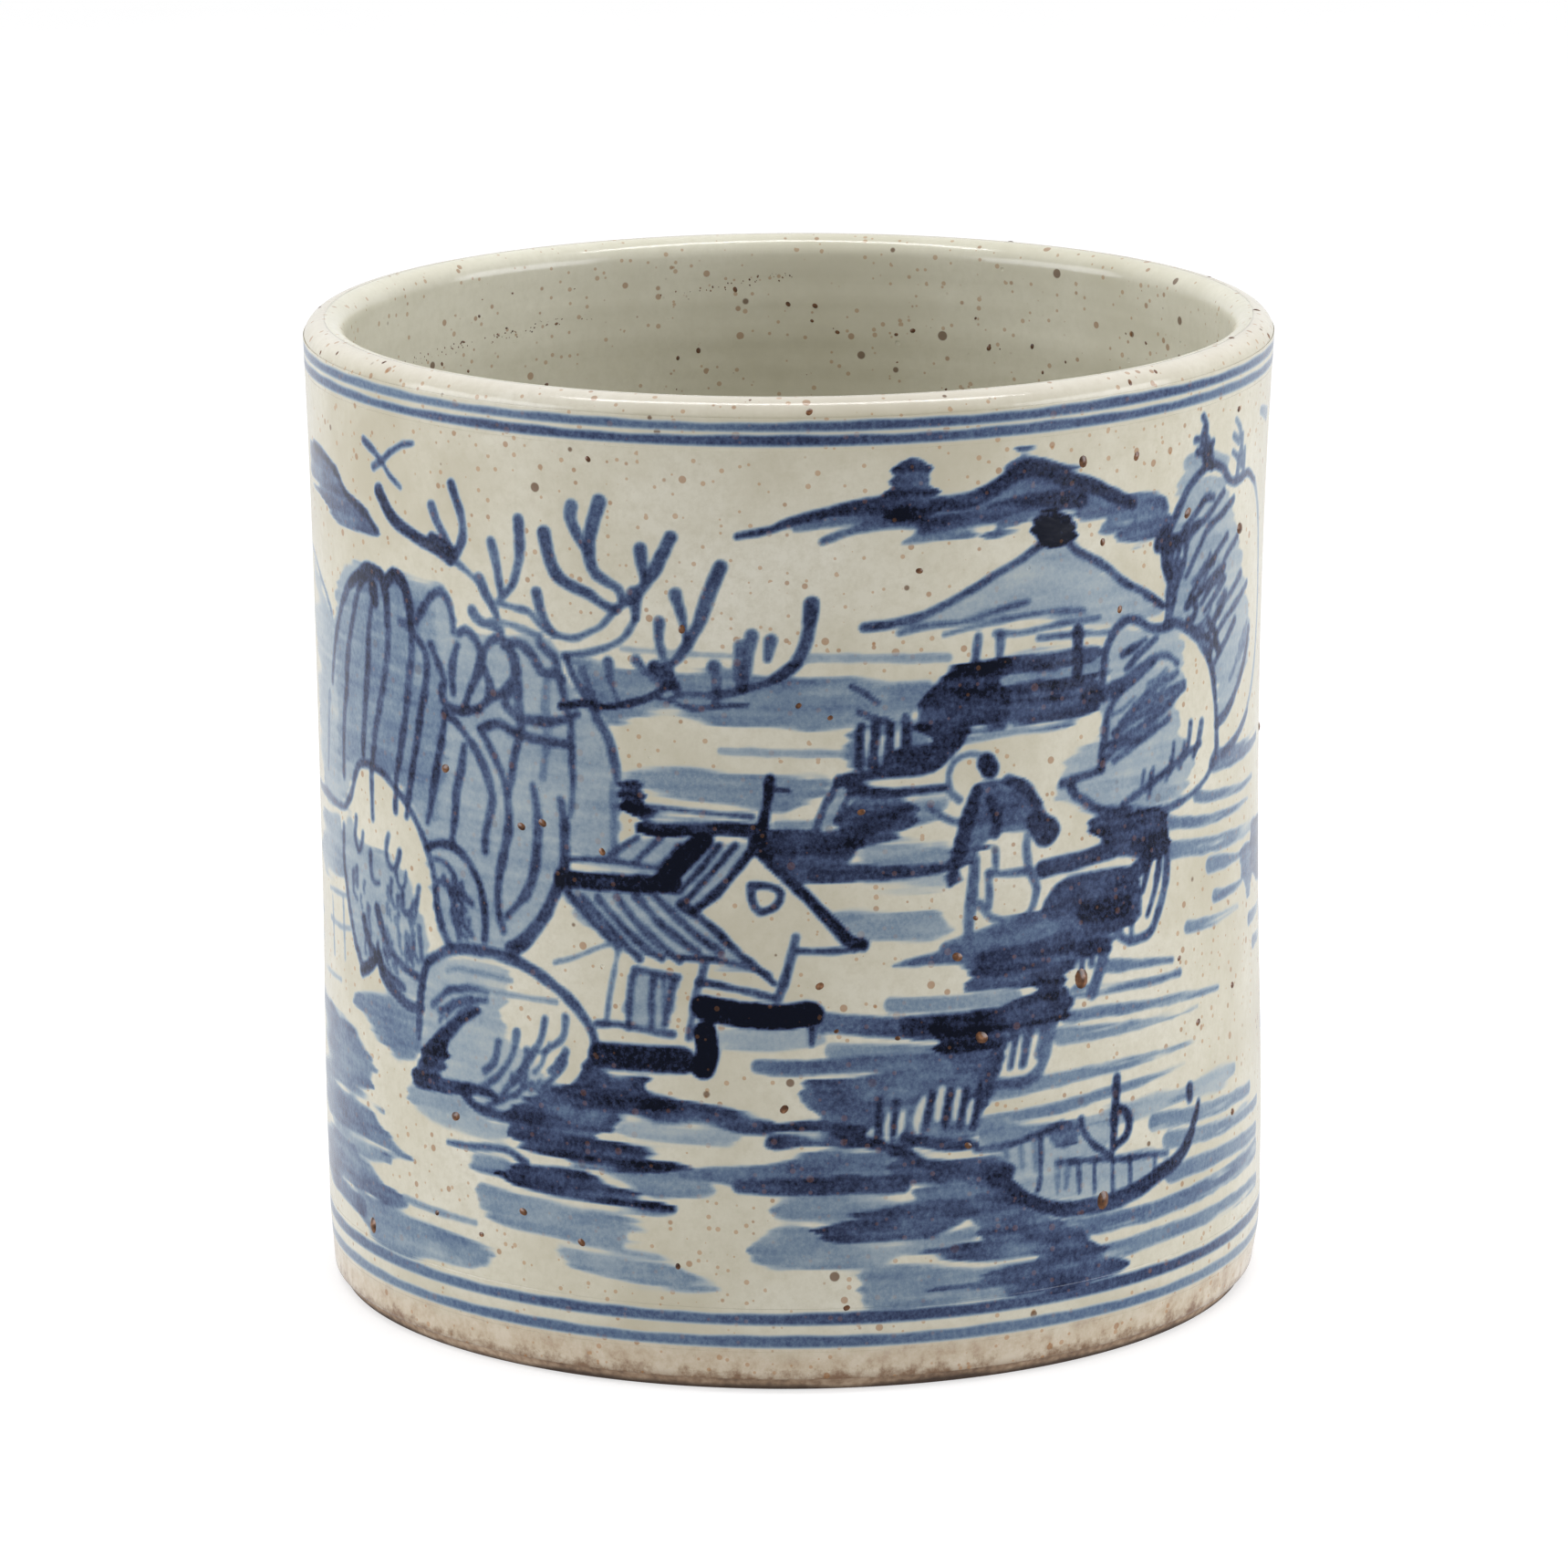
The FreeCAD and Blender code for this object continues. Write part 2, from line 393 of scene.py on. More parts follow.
def lay(load, widths, points, dryness):
    """Lays one brush mark in the glaze: a stroke of those widths, or a filled wash if widths is None."""
    path, share = flowing_path(points, closed=widths is None)
    reach = 1.0 if widths is None else 0.5 * np.max(widths) + 1.0
    part = window(path.min(0) - reach, path.max(0) + reach)
    s, z = across[part[1]], rise[part[0]]
    if not len(s) or not len(z):
        return
    depth = np.full((len(z), len(s)), -9.0)
    along = np.zeros_like(depth)
    inside = np.zeros(depth.shape, bool)
    half = np.zeros(len(share))
    if widths is not None:
        each = np.atleast_1d(widths)
        half = np.interp(share, np.linspace(0, 1, len(each)), each) / 2
    for a, b, half_a, half_b, share_a in zip(path, path[1:], half, half[1:], share):
        low, high = np.minimum(a, b) - reach, np.maximum(a, b) + reach
        i = slice(*np.searchsorted(z, (low[1], high[1])))
        j = slice(*np.searchsorted(s, (low[0], high[0])))
        run = b - a
        ds, dz = s[None, j] - a[0], z[i, None] - a[1]
        t = np.clip((ds * run[0] + dz * run[1]) / max(run @ run, 1e-9), 0, 1)
        gap = np.hypot(ds - t * run[0], dz - t * run[1])
        into = half_a + t * (half_b - half_a) - gap
        closer = into > depth[i, j]
        depth[i, j] = np.where(closer, into, depth[i, j])
        along[i, j] = np.where(closer, share_a, along[i, j])
        if widths is None and a[1] != b[1]:
            rows = slice(*np.searchsorted(z, (min(a[1], b[1]), max(a[1], b[1]))))
            crossing = a[0] + (z[rows, None] - a[1]) * run[0] / run[1]
            inside[rows] ^= s[None] < crossing
    if widths is None:
        depth = np.where(inside, -depth, depth) + 0.75 * streaks[part]
        load = load * (1 + 0.14 * streaks[part] + 0.16 * pooled[part])
        soft = SOFT_EDGE * (1.5 if load.mean() < 0.5 else 1.0)
    else:
        depth = depth + 0.12 * ragged[part]
        heaviest = max(load, HEAPED)
        load = load * (1 + 0.12 * pooled[part] + 0.06 * streaks[part])
        load = np.minimum(load + 0.15 * np.minimum(load, ink[part]), heaviest)
        soft = SOFT_EDGE
    cover = ease(depth, -soft / 2, soft / 2)
    if dryness:
        cover = cover * np.clip((streaks[part] + 2.0 - 3.6 * dryness * along) / 1.3, 0, 1)
    if np.max(load) == 0:
        ink[part] *= 1 - 0.8 * cover
    ink[part] += cover * np.maximum(load - ink[part], 0)


def brush(load, widths, *paths, dryness=0.0):
    """Brush marks of one load and width, each path a run of s, z in mm on the unrolled wall."""
    return [(load, widths, np.reshape(path, (-1, 2)).astype(float), dryness) for path in paths]


def wash(load, *edges):
    """Filled areas of thin or thick colour, each bounded by a run of s, z in mm."""
    return [(load, None, np.reshape(edge, (-1, 2)).astype(float), 0.0) for edge in edges]


def hatching(load, width, count, run, bend, *corners):
    """Short strokes dotted in by the brush tip between four corners, all with about the same run."""
    a, b, c, d = np.reshape(corners, (4, 2)).astype(float)
    run, paths = np.array(run, float), []
    for u, v in chance.uniform(0, 1, (count, 2)):
        start = (1 - v) * ((1 - u) * a + u * b) + v * ((1 - u) * d + u * c)
        end = start + run * chance.uniform(0.6, 1.3) + chance.uniform(-0.4, 0.4, 2)
        middle = (start + end) / 2 + bend * np.array([run[1], -run[0]])
        paths.append((*start, *middle, *end))
    return brush(load, width, *paths)


def spare(widths, *paths):
    """Slivers of the wall left open between brush marks, where the glaze shows pale."""
    return brush(0.0, widths, *paths)


motifs = {}

motifs["far hill on the left"] = wash(
    0.6,
    (-104, 135, -98, 136.2, -93, 136, -90, 134.8, -87, 134.2, -84.5, 132.5, -83, 131.5, -80, 131.2, -77, 130,
     -75, 128.8, -74, 127.8, -72.3, 126.8, -74, 126.2, -78, 126.2, -82, 125.8, -87, 126, -91, 127, -93,
     128.2,
     -98, 129.3, -104, 130),
) + brush(0.78, (1.6, 1.2), (-100, 135.6, -93, 135.2, -87, 133.6, -83, 131, -77, 129.3, -73, 127))

motifs["crossed twigs"] = brush(
    0.7,
    (1.5, 1.3, 0.9),
    (-76, 140.5, -73, 139.2, -71, 138, -69, 136.3, -66.3, 134.8),
    (-73.3, 136.8, -71, 138, -68.5, 139.8, -65.5, 141.3, -62.8, 142),
)

motifs["bare tree"] = (
    brush(0.84, (2.6, 2.2, 1.8), (-72, 133.2, -70, 131, -68, 129.5, -65, 128.3, -61, 127.2, -58, 126.5,
        -55.3, 125.3))
    + brush(0.75, 1.6, (-55.3, 125.3, -53.5, 127, -52.5, 129.5, -52.8, 132.5, -53.8, 135, -54.6, 137))
    + brush(
        0.7,
        (1.9, 1.2),
        (-59, 133, -58, 131, -56.5, 129, -55.5, 127.5),
        (-49.5, 123.3, -48.3, 121, -46.8, 119, -46.2, 117.7),
        (-47, 129, -46.3, 126.5, -45.8, 124, -45.3, 121.8),
        (-42, 133, -41.8, 130, -42, 127, -42.8, 124, -44.2, 121.8, -45.2, 121),
        (-51, 118, -49.5, 116.8, -47, 116.3, -45.5, 115.8),
        (-39, 122.3, -38.3, 119.5, -37.3, 117.5, -36, 116.2),
        (-22.8, 113.4, -21.3, 111.5, -19.5, 110),
        (-27.3, 112.8, -26.9, 110, -26, 107.5),
        (-31.5, 111.5, -30.5, 109, -29.5, 107),
        (-16.8, 123.8, -16, 121, -15, 117),
        (-19.2, 119.3, -19.3, 117, -18.8, 114.5, -17.5, 112),
    )
    + brush(0.84, (2.2, 2.6), (-59, 128, -57, 127.2, -55.3, 126.4))
    + brush(
        0.6,
        1.1,
        (-55, 125.5, -52.5, 124.4, -49.5, 122.5),
        (-47.5, 117, -44, 117, -41, 116.3, -38.5, 115.7),
        (-46, 120, -43, 119.6, -40.5, 119.3, -39.3, 118.3, -38, 117.2, -36, 116.2, -33, 116, -30.5, 117,
         -28.5, 118, -27.3, 119.3, -26, 121),
        (-22.8, 119.8, -23.5, 118.5, -25, 116.5, -28, 114.8, -31, 113.8, -34.5, 113.3),
    )
    + brush(
        0.72,
        (2.2, 1.9, 1.3),
        (-37.5, 131.5, -37, 129, -36.2, 126.5, -34.5, 124.5, -32, 123.5, -30, 122.8, -28, 121.5, -25.8,
            120.8),
        (-17.4, 132.2, -18.8, 129.5, -20, 127, -21.5, 124.8, -23, 123, -26, 121),
        (-32.8, 136, -33, 134, -31.8, 131.5, -30.5, 129.5),
        (-28.3, 137, -29.4, 134, -30, 131, -30, 128, -29, 126, -27, 124.8, -25.5, 124, -25, 122.5),
        (-22, 130.3, -21.8, 128, -21.3, 125),
        (-10, 127.8, -11.5, 124.5, -13, 120, -14.8, 116.5, -16.5, 114, -18.3, 112.5),
        (-23, 123.5, -22.8, 119.8),
        (-5.4, 117.6, -6, 114.5, -6.2, 112, -6, 110),
        (-7, 116, -7.3, 112, -7, 109.5),
        (-2.6, 117, -3.1, 114.3),
        (-11, 113, -10.6, 110, -10.8, 107.3),
    )
    + brush(0.88, (2.4, 2.8, 1.8), (-20, 112.5, -18, 110.8, -16.5, 109.2))
    + brush(0.95, (1.6, 1.4), (-35, 105.5, -31, 106.3, -28, 106, -25, 106.5, -22, 107.5, -19.5, 108.7,
        -17.5, 110))
    + brush(
        0.8,
        (1.2, 1.7, 2.2),
        (-17.5, 108, -15, 108.8, -12, 108.7, -9, 108.9, -6, 109.8, -3.5, 110.5, -1, 111.8, 1, 113.5, 2.3,
            116,
         3, 119, 3.4, 122.5),
    )
    + brush(0.8, 1.1, (-19.5, 108, -17, 107.3, -14, 106.5, -10, 107, -6, 107.3))
)

motifs["striped hills"] = (
    wash(
        0.32,
        (-100, 110, -90.5, 110, -89, 115, -86, 118.5, -82, 121, -79, 121.8, -71, 120.5, -68, 121.6, -61, 121,
         -57, 121, -54, 115, -50, 115, -46, 115, -38, 115.5, -35, 112, -33, 107, -30, 106, -27.3, 101, -26,
         95,
         -26, 88, -28, 83, -35, 82, -35.5, 78, -39.5, 72, -44, 67, -50, 66, -58, 65.5, -60.5, 70, -62, 80,
         -66, 86, -72, 89.5, -79, 90, -84, 86, -87.5, 82, -100, 81.3),
        (-105, 117, -98, 114.2, -93, 111, -91, 109, -93, 98, -94, 86, -103, 85, -108, 89, -104, 93, -111, 98,
         -105, 103, -112, 108, -107, 113),
    )
    + wash(0.43, (-89, 88, -90, 100, -88, 110, -80, 118, -70, 118, -62, 118, -58, 112, -58, 90, -62, 84,
        -75, 92))
    + wash(0.48, (-78, 118, -72, 120, -66, 120, -63, 115, -63, 108, -66, 98, -70, 90, -76, 90, -78, 100,
        -77, 110))
    + brush(0.5, 1.0, (-112, 118, -104, 117.5, -98, 115, -95, 113.5, -93, 112, -91.5, 110.8))
    + brush(
        0.71,
        (1.3, 1.7, 1.3),
        (-92.5, 100, -91, 104.5, -89, 109, -86.5, 113, -84, 116, -81.5, 118, -78, 119.5, -75, 120.3, -72.5,
            120.8,
         -70.5, 119.5),
        (-87.8, 86, -87.7, 88, -87.3, 93, -86.5, 97, -85.5, 100, -85, 104, -83.5, 108.5, -81.5, 113, -80,
            116,
         -78, 118.5, -75.5, 119.5),
        (-75, 116.5, -76.3, 112, -76.8, 108.5, -77.5, 104, -78.3, 100, -79, 96, -79.7, 91),
        (-72, 120, -71, 117.5, -70.6, 113, -71, 109, -72, 105, -73.3, 101, -74.5, 98, -75.8, 94, -76.5, 90.5,
         -77, 88, -77, 81.5),
        (-70, 120.3, -68, 121, -66.5, 120.3, -65.3, 117.5, -64.5, 113.5, -64.7, 109, -65.5, 105.5, -66.3,
            101,
         -67.3, 97, -68.6, 92.5, -69.5, 89.5, -70, 84),
        (-63.3, 114.5, -61.5, 117, -59.5, 119.3, -57.5, 120.2, -56, 119, -55.2, 117, -55, 114.5),
        (-67.5, 114, -65, 113.5, -62, 111, -61, 109, -61.5, 105, -62.7, 101, -63.7, 97, -64.8, 93, -65.8, 89,
         -67, 84),
        (-60, 111.7, -58.5, 109, -57.2, 106.5, -57.8, 105, -57, 103, -54, 102.3, -50, 103.3),
        (-54.3, 112.3, -55.3, 109.5, -55.5, 107, -55.3, 105),
        (-53.8, 114.3, -52.5, 115, -50.5, 113.8, -49.3, 111.5, -50, 109, -52, 105.5, -53, 103),
        (-50, 109.5, -49, 112, -47.5, 114, -45.5, 114.5, -44, 113, -43, 110.5, -43.5, 108.5, -45.5, 106.5,
         -48, 105, -50.5, 103),
        (-45, 113.5, -42.5, 114.3, -40.5, 113.3, -39, 111.3, -38.3, 110.3, -36, 110.2, -34.8, 109.5),
        (-43, 112, -42.5, 109, -42.5, 105, -42.3, 101, -43.5, 97, -44.7, 91),
        (-43, 108, -45, 105.5, -44.5, 104, -42, 103, -38, 102.8, -35, 103.3, -32.5, 104.5),
        (-48.8, 109.5, -47.8, 107, -48.2, 105.5),
        (-50, 100.3, -48, 101, -46, 101.5, -43.5, 100.5, -40, 100, -33.5, 99.7),
        (-34, 113, -33, 110.5, -31.5, 108, -30, 106, -28.8, 103.5, -27.3, 101, -26.5, 98, -26, 95.5),
        (-57.5, 101.5, -55, 100.5, -52.5, 98.5, -50, 95.5, -48.5, 92.5, -47.8, 89.5, -48.5, 87, -49.3, 84,
         -49.5, 81.5),
        (-49.8, 99.8, -48.3, 98, -46.5, 95, -45.3, 92, -44.8, 88.5, -45, 85, -46, 81, -46.8, 78, -47.2, 75,
         -47, 72, -46.3, 69.5),
        (-40.3, 92.8, -39.7, 90, -39.5, 86.5, -39.8, 83, -40.3, 79.5, -41.5, 76.5, -43.5, 74, -45.5, 72),
        (-57.2, 101.5, -57.8, 98.5, -58.7, 95, -59.8, 91, -61, 86.5, -61.8, 84),
        (-53.3, 97, -54, 93.5, -55, 90, -55.5, 86, -56.3, 82),
    )
    + brush(
        0.8,
        (1.6, 2.4, 2.2, 1.4),
        (-82.5, 117, -79, 119.3, -75.5, 120.7, -72.3, 120, -71, 117, -71, 113),
        (-71, 119.3, -68.8, 121, -66.2, 119.8, -65, 117, -64.7, 113.5),
    )
    + brush(0.86, (2.8, 2.2), (-74.9, 118, -74.3, 115.8))
    + wash(0.33, (-33, 104, -31, 105, -28.5, 101, -27, 96, -27, 88, -28.5, 84, -33, 83.5, -33.5, 92))
    + brush(0.75, (1.4, 2.5), (-35.5, 91, -34.9, 88, -34.9, 84, -35, 80.5, -36, 78, -37.5, 75, -39.2, 72,
        -41, 70,
                              -43, 68, -45, 66.8))
    + brush(
        0.5,
        (1.5, 1.2),
        (-37.5, 109, -37.8, 105, -37.5, 101, -38.5, 94),
        (-26.5, 94, -26.7, 86, -27, 83.5),
        (-94.5, 97.5, -95.5, 94, -96.3, 89, -97, 85.5),
    )
    + brush(0.68, (1.5, 1.1), (-38.5, 114.5, -36, 112.5, -35.3, 109.5, -34.3, 106, -33.5, 103, -33.5, 99.5,
                              -33.3, 94, -33.8, 89))
)

motifs["tall rock"] = (
    wash(0.36, (-104, 76.5, -98, 78, -91, 79.6, -89.5, 78.5, -89, 75.5, -88.5, 70.5, -92, 69, -98, 68,
                -103, 67.5, -109, 70, -104, 73))
    + wash(
        0.3,
        (-88.5, 78.8, -85, 80.5, -82, 77.5, -78, 76.5, -74, 76.8, -70, 76, -66, 73, -64, 69, -62, 65, -63,
            59.5,
         -66, 56, -71, 56, -75, 58.8, -79, 58.8, -82, 58, -85, 61.5, -87.5, 67, -88.8, 73),
    )
    + wash(0.33, (-86, 64, -80, 67, -74, 66.5, -68, 65, -63.5, 63, -63.5, 56, -71, 56.5, -76, 59.5, -82, 58))
    + brush(
        0.7,
        1.4,
        (-108, 80.5, -98, 81, -94, 80.8, -90, 80.8, -87.5, 81.3, -86, 82.5, -84.3, 84.5, -83, 87, -81.5, 89,
         -79.5, 89.8, -76, 89.8, -73, 89.2, -70, 87.8, -67, 85.8, -64.5, 83.5, -62.8, 81, -61.3, 78, -60.3,
         74.5,
         -60, 71, -59.5, 69, -58.5, 67, -57.3, 65.3),
        (-88.6, 78, -88.9, 73, -88, 69, -87.2, 66.3, -85.2, 61.5, -83.5, 59, -81.8, 56.7),
    )
    + brush(0.74, (1.8, 1.4), (-76.3, 67.7, -75, 65, -73.6, 62.9, -69.5, 60.2, -64, 58.8),
            (-81, 65, -79.8, 62.5, -78.3, 60.8, -73.6, 58.1, -68.8, 56.7))
    + brush(0.82, 2.1, (-82, 56.4, -79, 58.1, -77, 59.5), (-76, 60, -74.5, 57, -69.5, 54.7, -67, 54, -64.5,
        54.5))
    + brush(
        0.66,
        (1.2, 0.9),
        (-83, 80.5, -83.6, 77.5, -82.5, 75.5, -81.2, 76.5, -80.6, 78.5),
        (-78, 76, -78, 73, -77, 71.5, -75.5, 71.8),
        (-72.2, 80, -73, 77.5, -72.3, 75.3, -70.5, 75, -69.3, 76.5, -69, 78),
        (-69.2, 77.8, -70.3, 75, -69.5, 72.5, -68, 72.8, -67.6, 75),
        (-71.6, 73, -72, 70.5, -71, 69),
        (-64.3, 73.3, -65, 70.5, -65.4, 68.5),
        (-68.6, 71.5, -68.6, 69, -67, 68.6, -66, 70),
        (-83.2, 72.5, -83.3, 69.5),
        (-84.8, 71.5, -84.8, 68.5, -83.5, 67.5),
        (-64.5, 67, -64, 62),
    )
    + hatching(0.6, (0.8, 0.6), 30, (0.2, -2.6), 0.12, -85.5, 73, -65, 71, -64.5, 61, -82, 61)
    + hatching(0.66, (0.9, 0.7), 11, (1.2, -2.0), 0.1, -80, 66, -66, 64, -65, 58, -78, 60)
)
motifs["rail on the bank"] = brush(
    0.36,
    0.9,
    (-98, 61.3, -92, 61.3, -87, 62),
    (-98, 66, -90, 66.7, -87, 67.3),
    (-96.5, 65, -96, 56),
    (-90, 66, -89.7, 56.5),
)

motifs["small rock"] = (
    wash(0.3, (-62, 79, -57, 80.5, -52, 77.5, -50.5, 73, -50.5, 67.5, -57, 66, -60, 70))
    + brush(0.75, 1.4, (-62, 80, -60, 80.8, -57, 81.2, -54.5, 80.3, -52.3, 78.5, -50.7, 76, -50, 73, -49.8,
        70,
                        -50, 67.5))
    + brush(
        0.65,
        1.1,
        (-60, 78.5, -58, 78.3, -56.3, 77, -55.5, 75.3, -55.3, 73),
        (-59.5, 75, -58, 75, -56.5, 73.5, -56, 70.5),
        (-54.5, 74, -52.5, 72.8),
        (-54.8, 71.5, -54, 69, -52.8, 68),
        (-56, 70, -55.3, 67),
        (-59.5, 70, -58.8, 68, -57.5, 66),
    )
    + hatching(0.62, (1.0, 0.8), 13, (1.2, -2.2), 0.15, -60.5, 79, -54, 78, -53, 69, -58.5, 67.5)
)

motifs["round rock"] = (
    wash(
        0.28,
        (-64, 57, -62, 62, -57, 64.5, -50, 65, -45.5, 64, -45, 60.5, -47, 57, -46, 54, -42, 51, -37, 47,
            -38, 44.5,
         -43, 42.5, -48, 41.5, -54, 43.5, -60, 44.5, -64, 48),
    )
    + wash(0.32, (-63, 56, -58, 59, -52, 58.5, -54, 54, -58, 50, -63, 48.5))
    + brush(
        0.76,
        (1.6, 1.9, 1.8, 1.2),
        (-64, 58, -63.3, 60.5, -62, 62.3, -60, 63.5, -57.5, 64.8, -54, 65.6, -50.5, 65.8, -47, 65.6, -43.5,
            65,
         -40, 63.7, -37, 62, -34.5, 60.3, -32.5, 58.3, -31, 56, -30.6, 53.5, -31.5, 50.5, -33.5, 47.5, -37,
         45),
        (-64, 58, -64.7, 55, -65, 52, -65.2, 49.5),
    )
    + wash(0.85, (-67, 42.3, -66.3, 44.5, -64.5, 47, -61.5, 49.8, -58.8, 49.8, -58.5, 46.5, -60.5, 44.3,
        -64, 42.2))
    + brush(0.82, (3.2, 2.4, 1.2), (-63, 46.5, -60, 50, -57.5, 52.5, -55, 54.5, -51.8, 56.3))
    + brush(0.8, (2.4, 2.2, 1.3), (-65.5, 43.3, -62, 42.9, -58, 43.2, -54, 43.6, -50.5, 43.8, -48, 43.2))
    + brush(0.78, 1.9, (-55.2, 43.2, -52.5, 41.3, -49, 40.6, -45, 40.4))
    + brush(
        0.66,
        (1.3, 1.0),
        (-44.2, 54, -44.8, 51, -47.5, 47, -51, 44.5),
        (-39, 56.8, -39.8, 53.5, -42, 50, -45, 46.5),
        (-35.4, 57.5, -35.8, 54.5, -38.8, 52),
        (-35.4, 52.3, -36.8, 49, -40.2, 45.5),
        (-47.6, 52, -48.4, 49, -50.5, 47),
        (-42.3, 51.5, -43, 48, -47, 44),
        (-49.8, 41.8, -45.5, 44, -41.5, 46.5),
        (-61.5, 55.5, -58, 58.2, -53.5, 59.5, -49.8, 59.5),
        (-60, 54.8, -55, 57, -50, 58.2),
    )
    + brush(0.45, 0.9, (-58, 61.5, -54, 62.3, -45, 62), (-51, 59.8, -44, 59.8, -37, 59.8))
    + hatching(0.62, (0.9, 0.7), 10, (2.0, 2.4), 0.1, -51, 47, -40, 53, -35, 50, -46, 42.5)
    + hatching(0.64, (0.9, 0.7), 7, (3.0, 1.6), -0.1, -62.5, 55.5, -54, 58, -54, 54.5, -61.5, 51)
)

motifs["small house"] = (
    wash(
        0.33,
        (-35, 77.3, -17, 78, -14.5, 75.5, -5.5, 68, -6, 67, -14, 68, -27, 69.5),
        (-27, 84, -20, 87, -13, 86.5, -17, 81.5, -20, 81.5, -33, 82.2),
        (-12, 86.3, -5.3, 85.5, -14.5, 75.5, -17.5, 77.5),
        (-24, 65.8, -17.8, 65, -19, 57.5, -24.8, 57.5),
    )
    + brush(1.05, 2.8, (-35.5, 79, -17.5, 79.5))
    + brush(1.1, 3.3, (-19, 80, -16.5, 83, -13, 86.5))
    + brush(0.75, 0.9, (-35, 82, -31, 82.4, -27, 82.5, -23, 82.2, -19.5, 81.8))
    + brush(0.7, 1.1, (-27.8, 82.8, -25.5, 84.8, -23, 86.5), (-23.5, 82.5, -21.5, 84.5, -19.3, 86.8),
            (-20, 81.8, -17.5, 84, -16.5, 85.5))
    + brush(0.85, 1.0, (-10.5, 85.8, -13, 82.5, -16.5, 78.5), (-8, 86, -11, 82.3, -14, 79, -16, 76.8))
    + brush(0.95, 1.4, (-5.3, 85.5, -8, 82, -11, 78.5, -14.5, 75.5))
    + brush(
        0.75,
        1.3,
        (-34.5, 77, -31, 73.5, -28, 70.8, -26.5, 69.5),
        (-32, 76.5, -28.5, 73, -25.5, 70, -23, 67.8),
        (-29.5, 76.5, -26, 73, -22.5, 69.8, -19.5, 68),
        (-26.5, 77, -23.5, 73.5, -20, 70.3, -16.8, 67.8),
        (-23.5, 77.5, -20, 73.8, -16.5, 71, -14, 69.3),
        (-20.8, 78, -17, 74.5, -13.5, 71.5, -10.5, 69.5),
    )
    + brush(0.85, (1.6, 0.8), (-16.3, 76.5, -12, 73.5, -8.5, 70, -5, 67, -2.5, 64.8))
    + brush(0.8, 1.0, (-16.5, 68.3, -12, 68.3, -9, 67.8, -6, 67.3, -3.3, 66))
    + brush(0.55, 0.8, (-37, 65.8, -33, 67.3, -30, 68.8, -27.5, 69.8), (-26.3, 69, -27, 66, -27.8, 62.5,
        -28.5, 58),
            (-19.2, 65, -19.3, 58.5))
    + brush(0.68, 1.2, (-12.8, 68, -13.5, 65.5, -14.5, 62, -15.5, 56), (-23.5, 66, -20.5, 65.8, -17, 65.3),
            (-23.8, 66, -24.5, 63, -24.8, 59, -25, 57), (-20.8, 65.5, -21.2, 62, -21.3, 57.5),
            (-17.8, 65, -18.3, 62, -19.2, 58))
    + brush(0.78, 1.2, (-30, 57.2, -26, 57.3, -22, 56.8, -18, 56.5), (-14, 64.7, -10, 64.2, -6, 63.4, -2.5,
        62.5))
    + brush(0.98, 4.3, (-29.5, 52.3, -16.5, 52.5))
    + brush(1.15, 3.6, (-13, 57, -12.8, 54, -13.5, 51.5))
    + brush(1.2, 4.0, (-13, 60.8, -10, 60.3, -3, 59.6, 3, 60))
    + brush(0.85, 1.3, (3, 57.5, 3, 55.5))
    + wash(0.3, (-11, 57.5, 3, 57.5, 3, 54.8, -11, 54.5))
)

motifs["gable end"] = (
    brush(1.0, (1.8, 1.6, 1.8, 3.2), (-2.8, 96, -3.3, 92, -4, 88.5, -4.5, 86.5))
    + brush(0.9, 1.2, (-2.9, 94.6, 0, 94.2))
    + wash(
        0.9,
        (-26, 94, -22.5, 95, -21.5, 91.5, -20, 90, -12, 89.5, -6, 89.2, -3, 88.5, -4, 85.5, -6, 86.5, -12,
            87.2,
         -20, 86.8, -22, 87.5, -24, 90),
    )
    + brush(0.75, 0.9, (-21, 91.3, -16, 91, -10, 90.6, -5.5, 90.3))
    + brush(0.98, (1.7, 1.9, 2.2), (-5, 85.5, -2, 82.5, 2, 78.5, 5.5, 74.8, 9, 71, 10.7, 70.6))
    + brush(0.8, 0.9, (1, 69.8, 5, 69.6, 9.5, 69.7))
    + brush(0.75, 1.4, (0.8, 71.8, 0, 68.5, -1, 65, -2, 62.3))
    + brush(0.88, 1.3, (-5.8, 79.8, -3, 79.7, -1.3, 78.6, -2.2, 76.6, -4.5, 75.8, -5.6, 77.5, -5.8, 79.8))
)

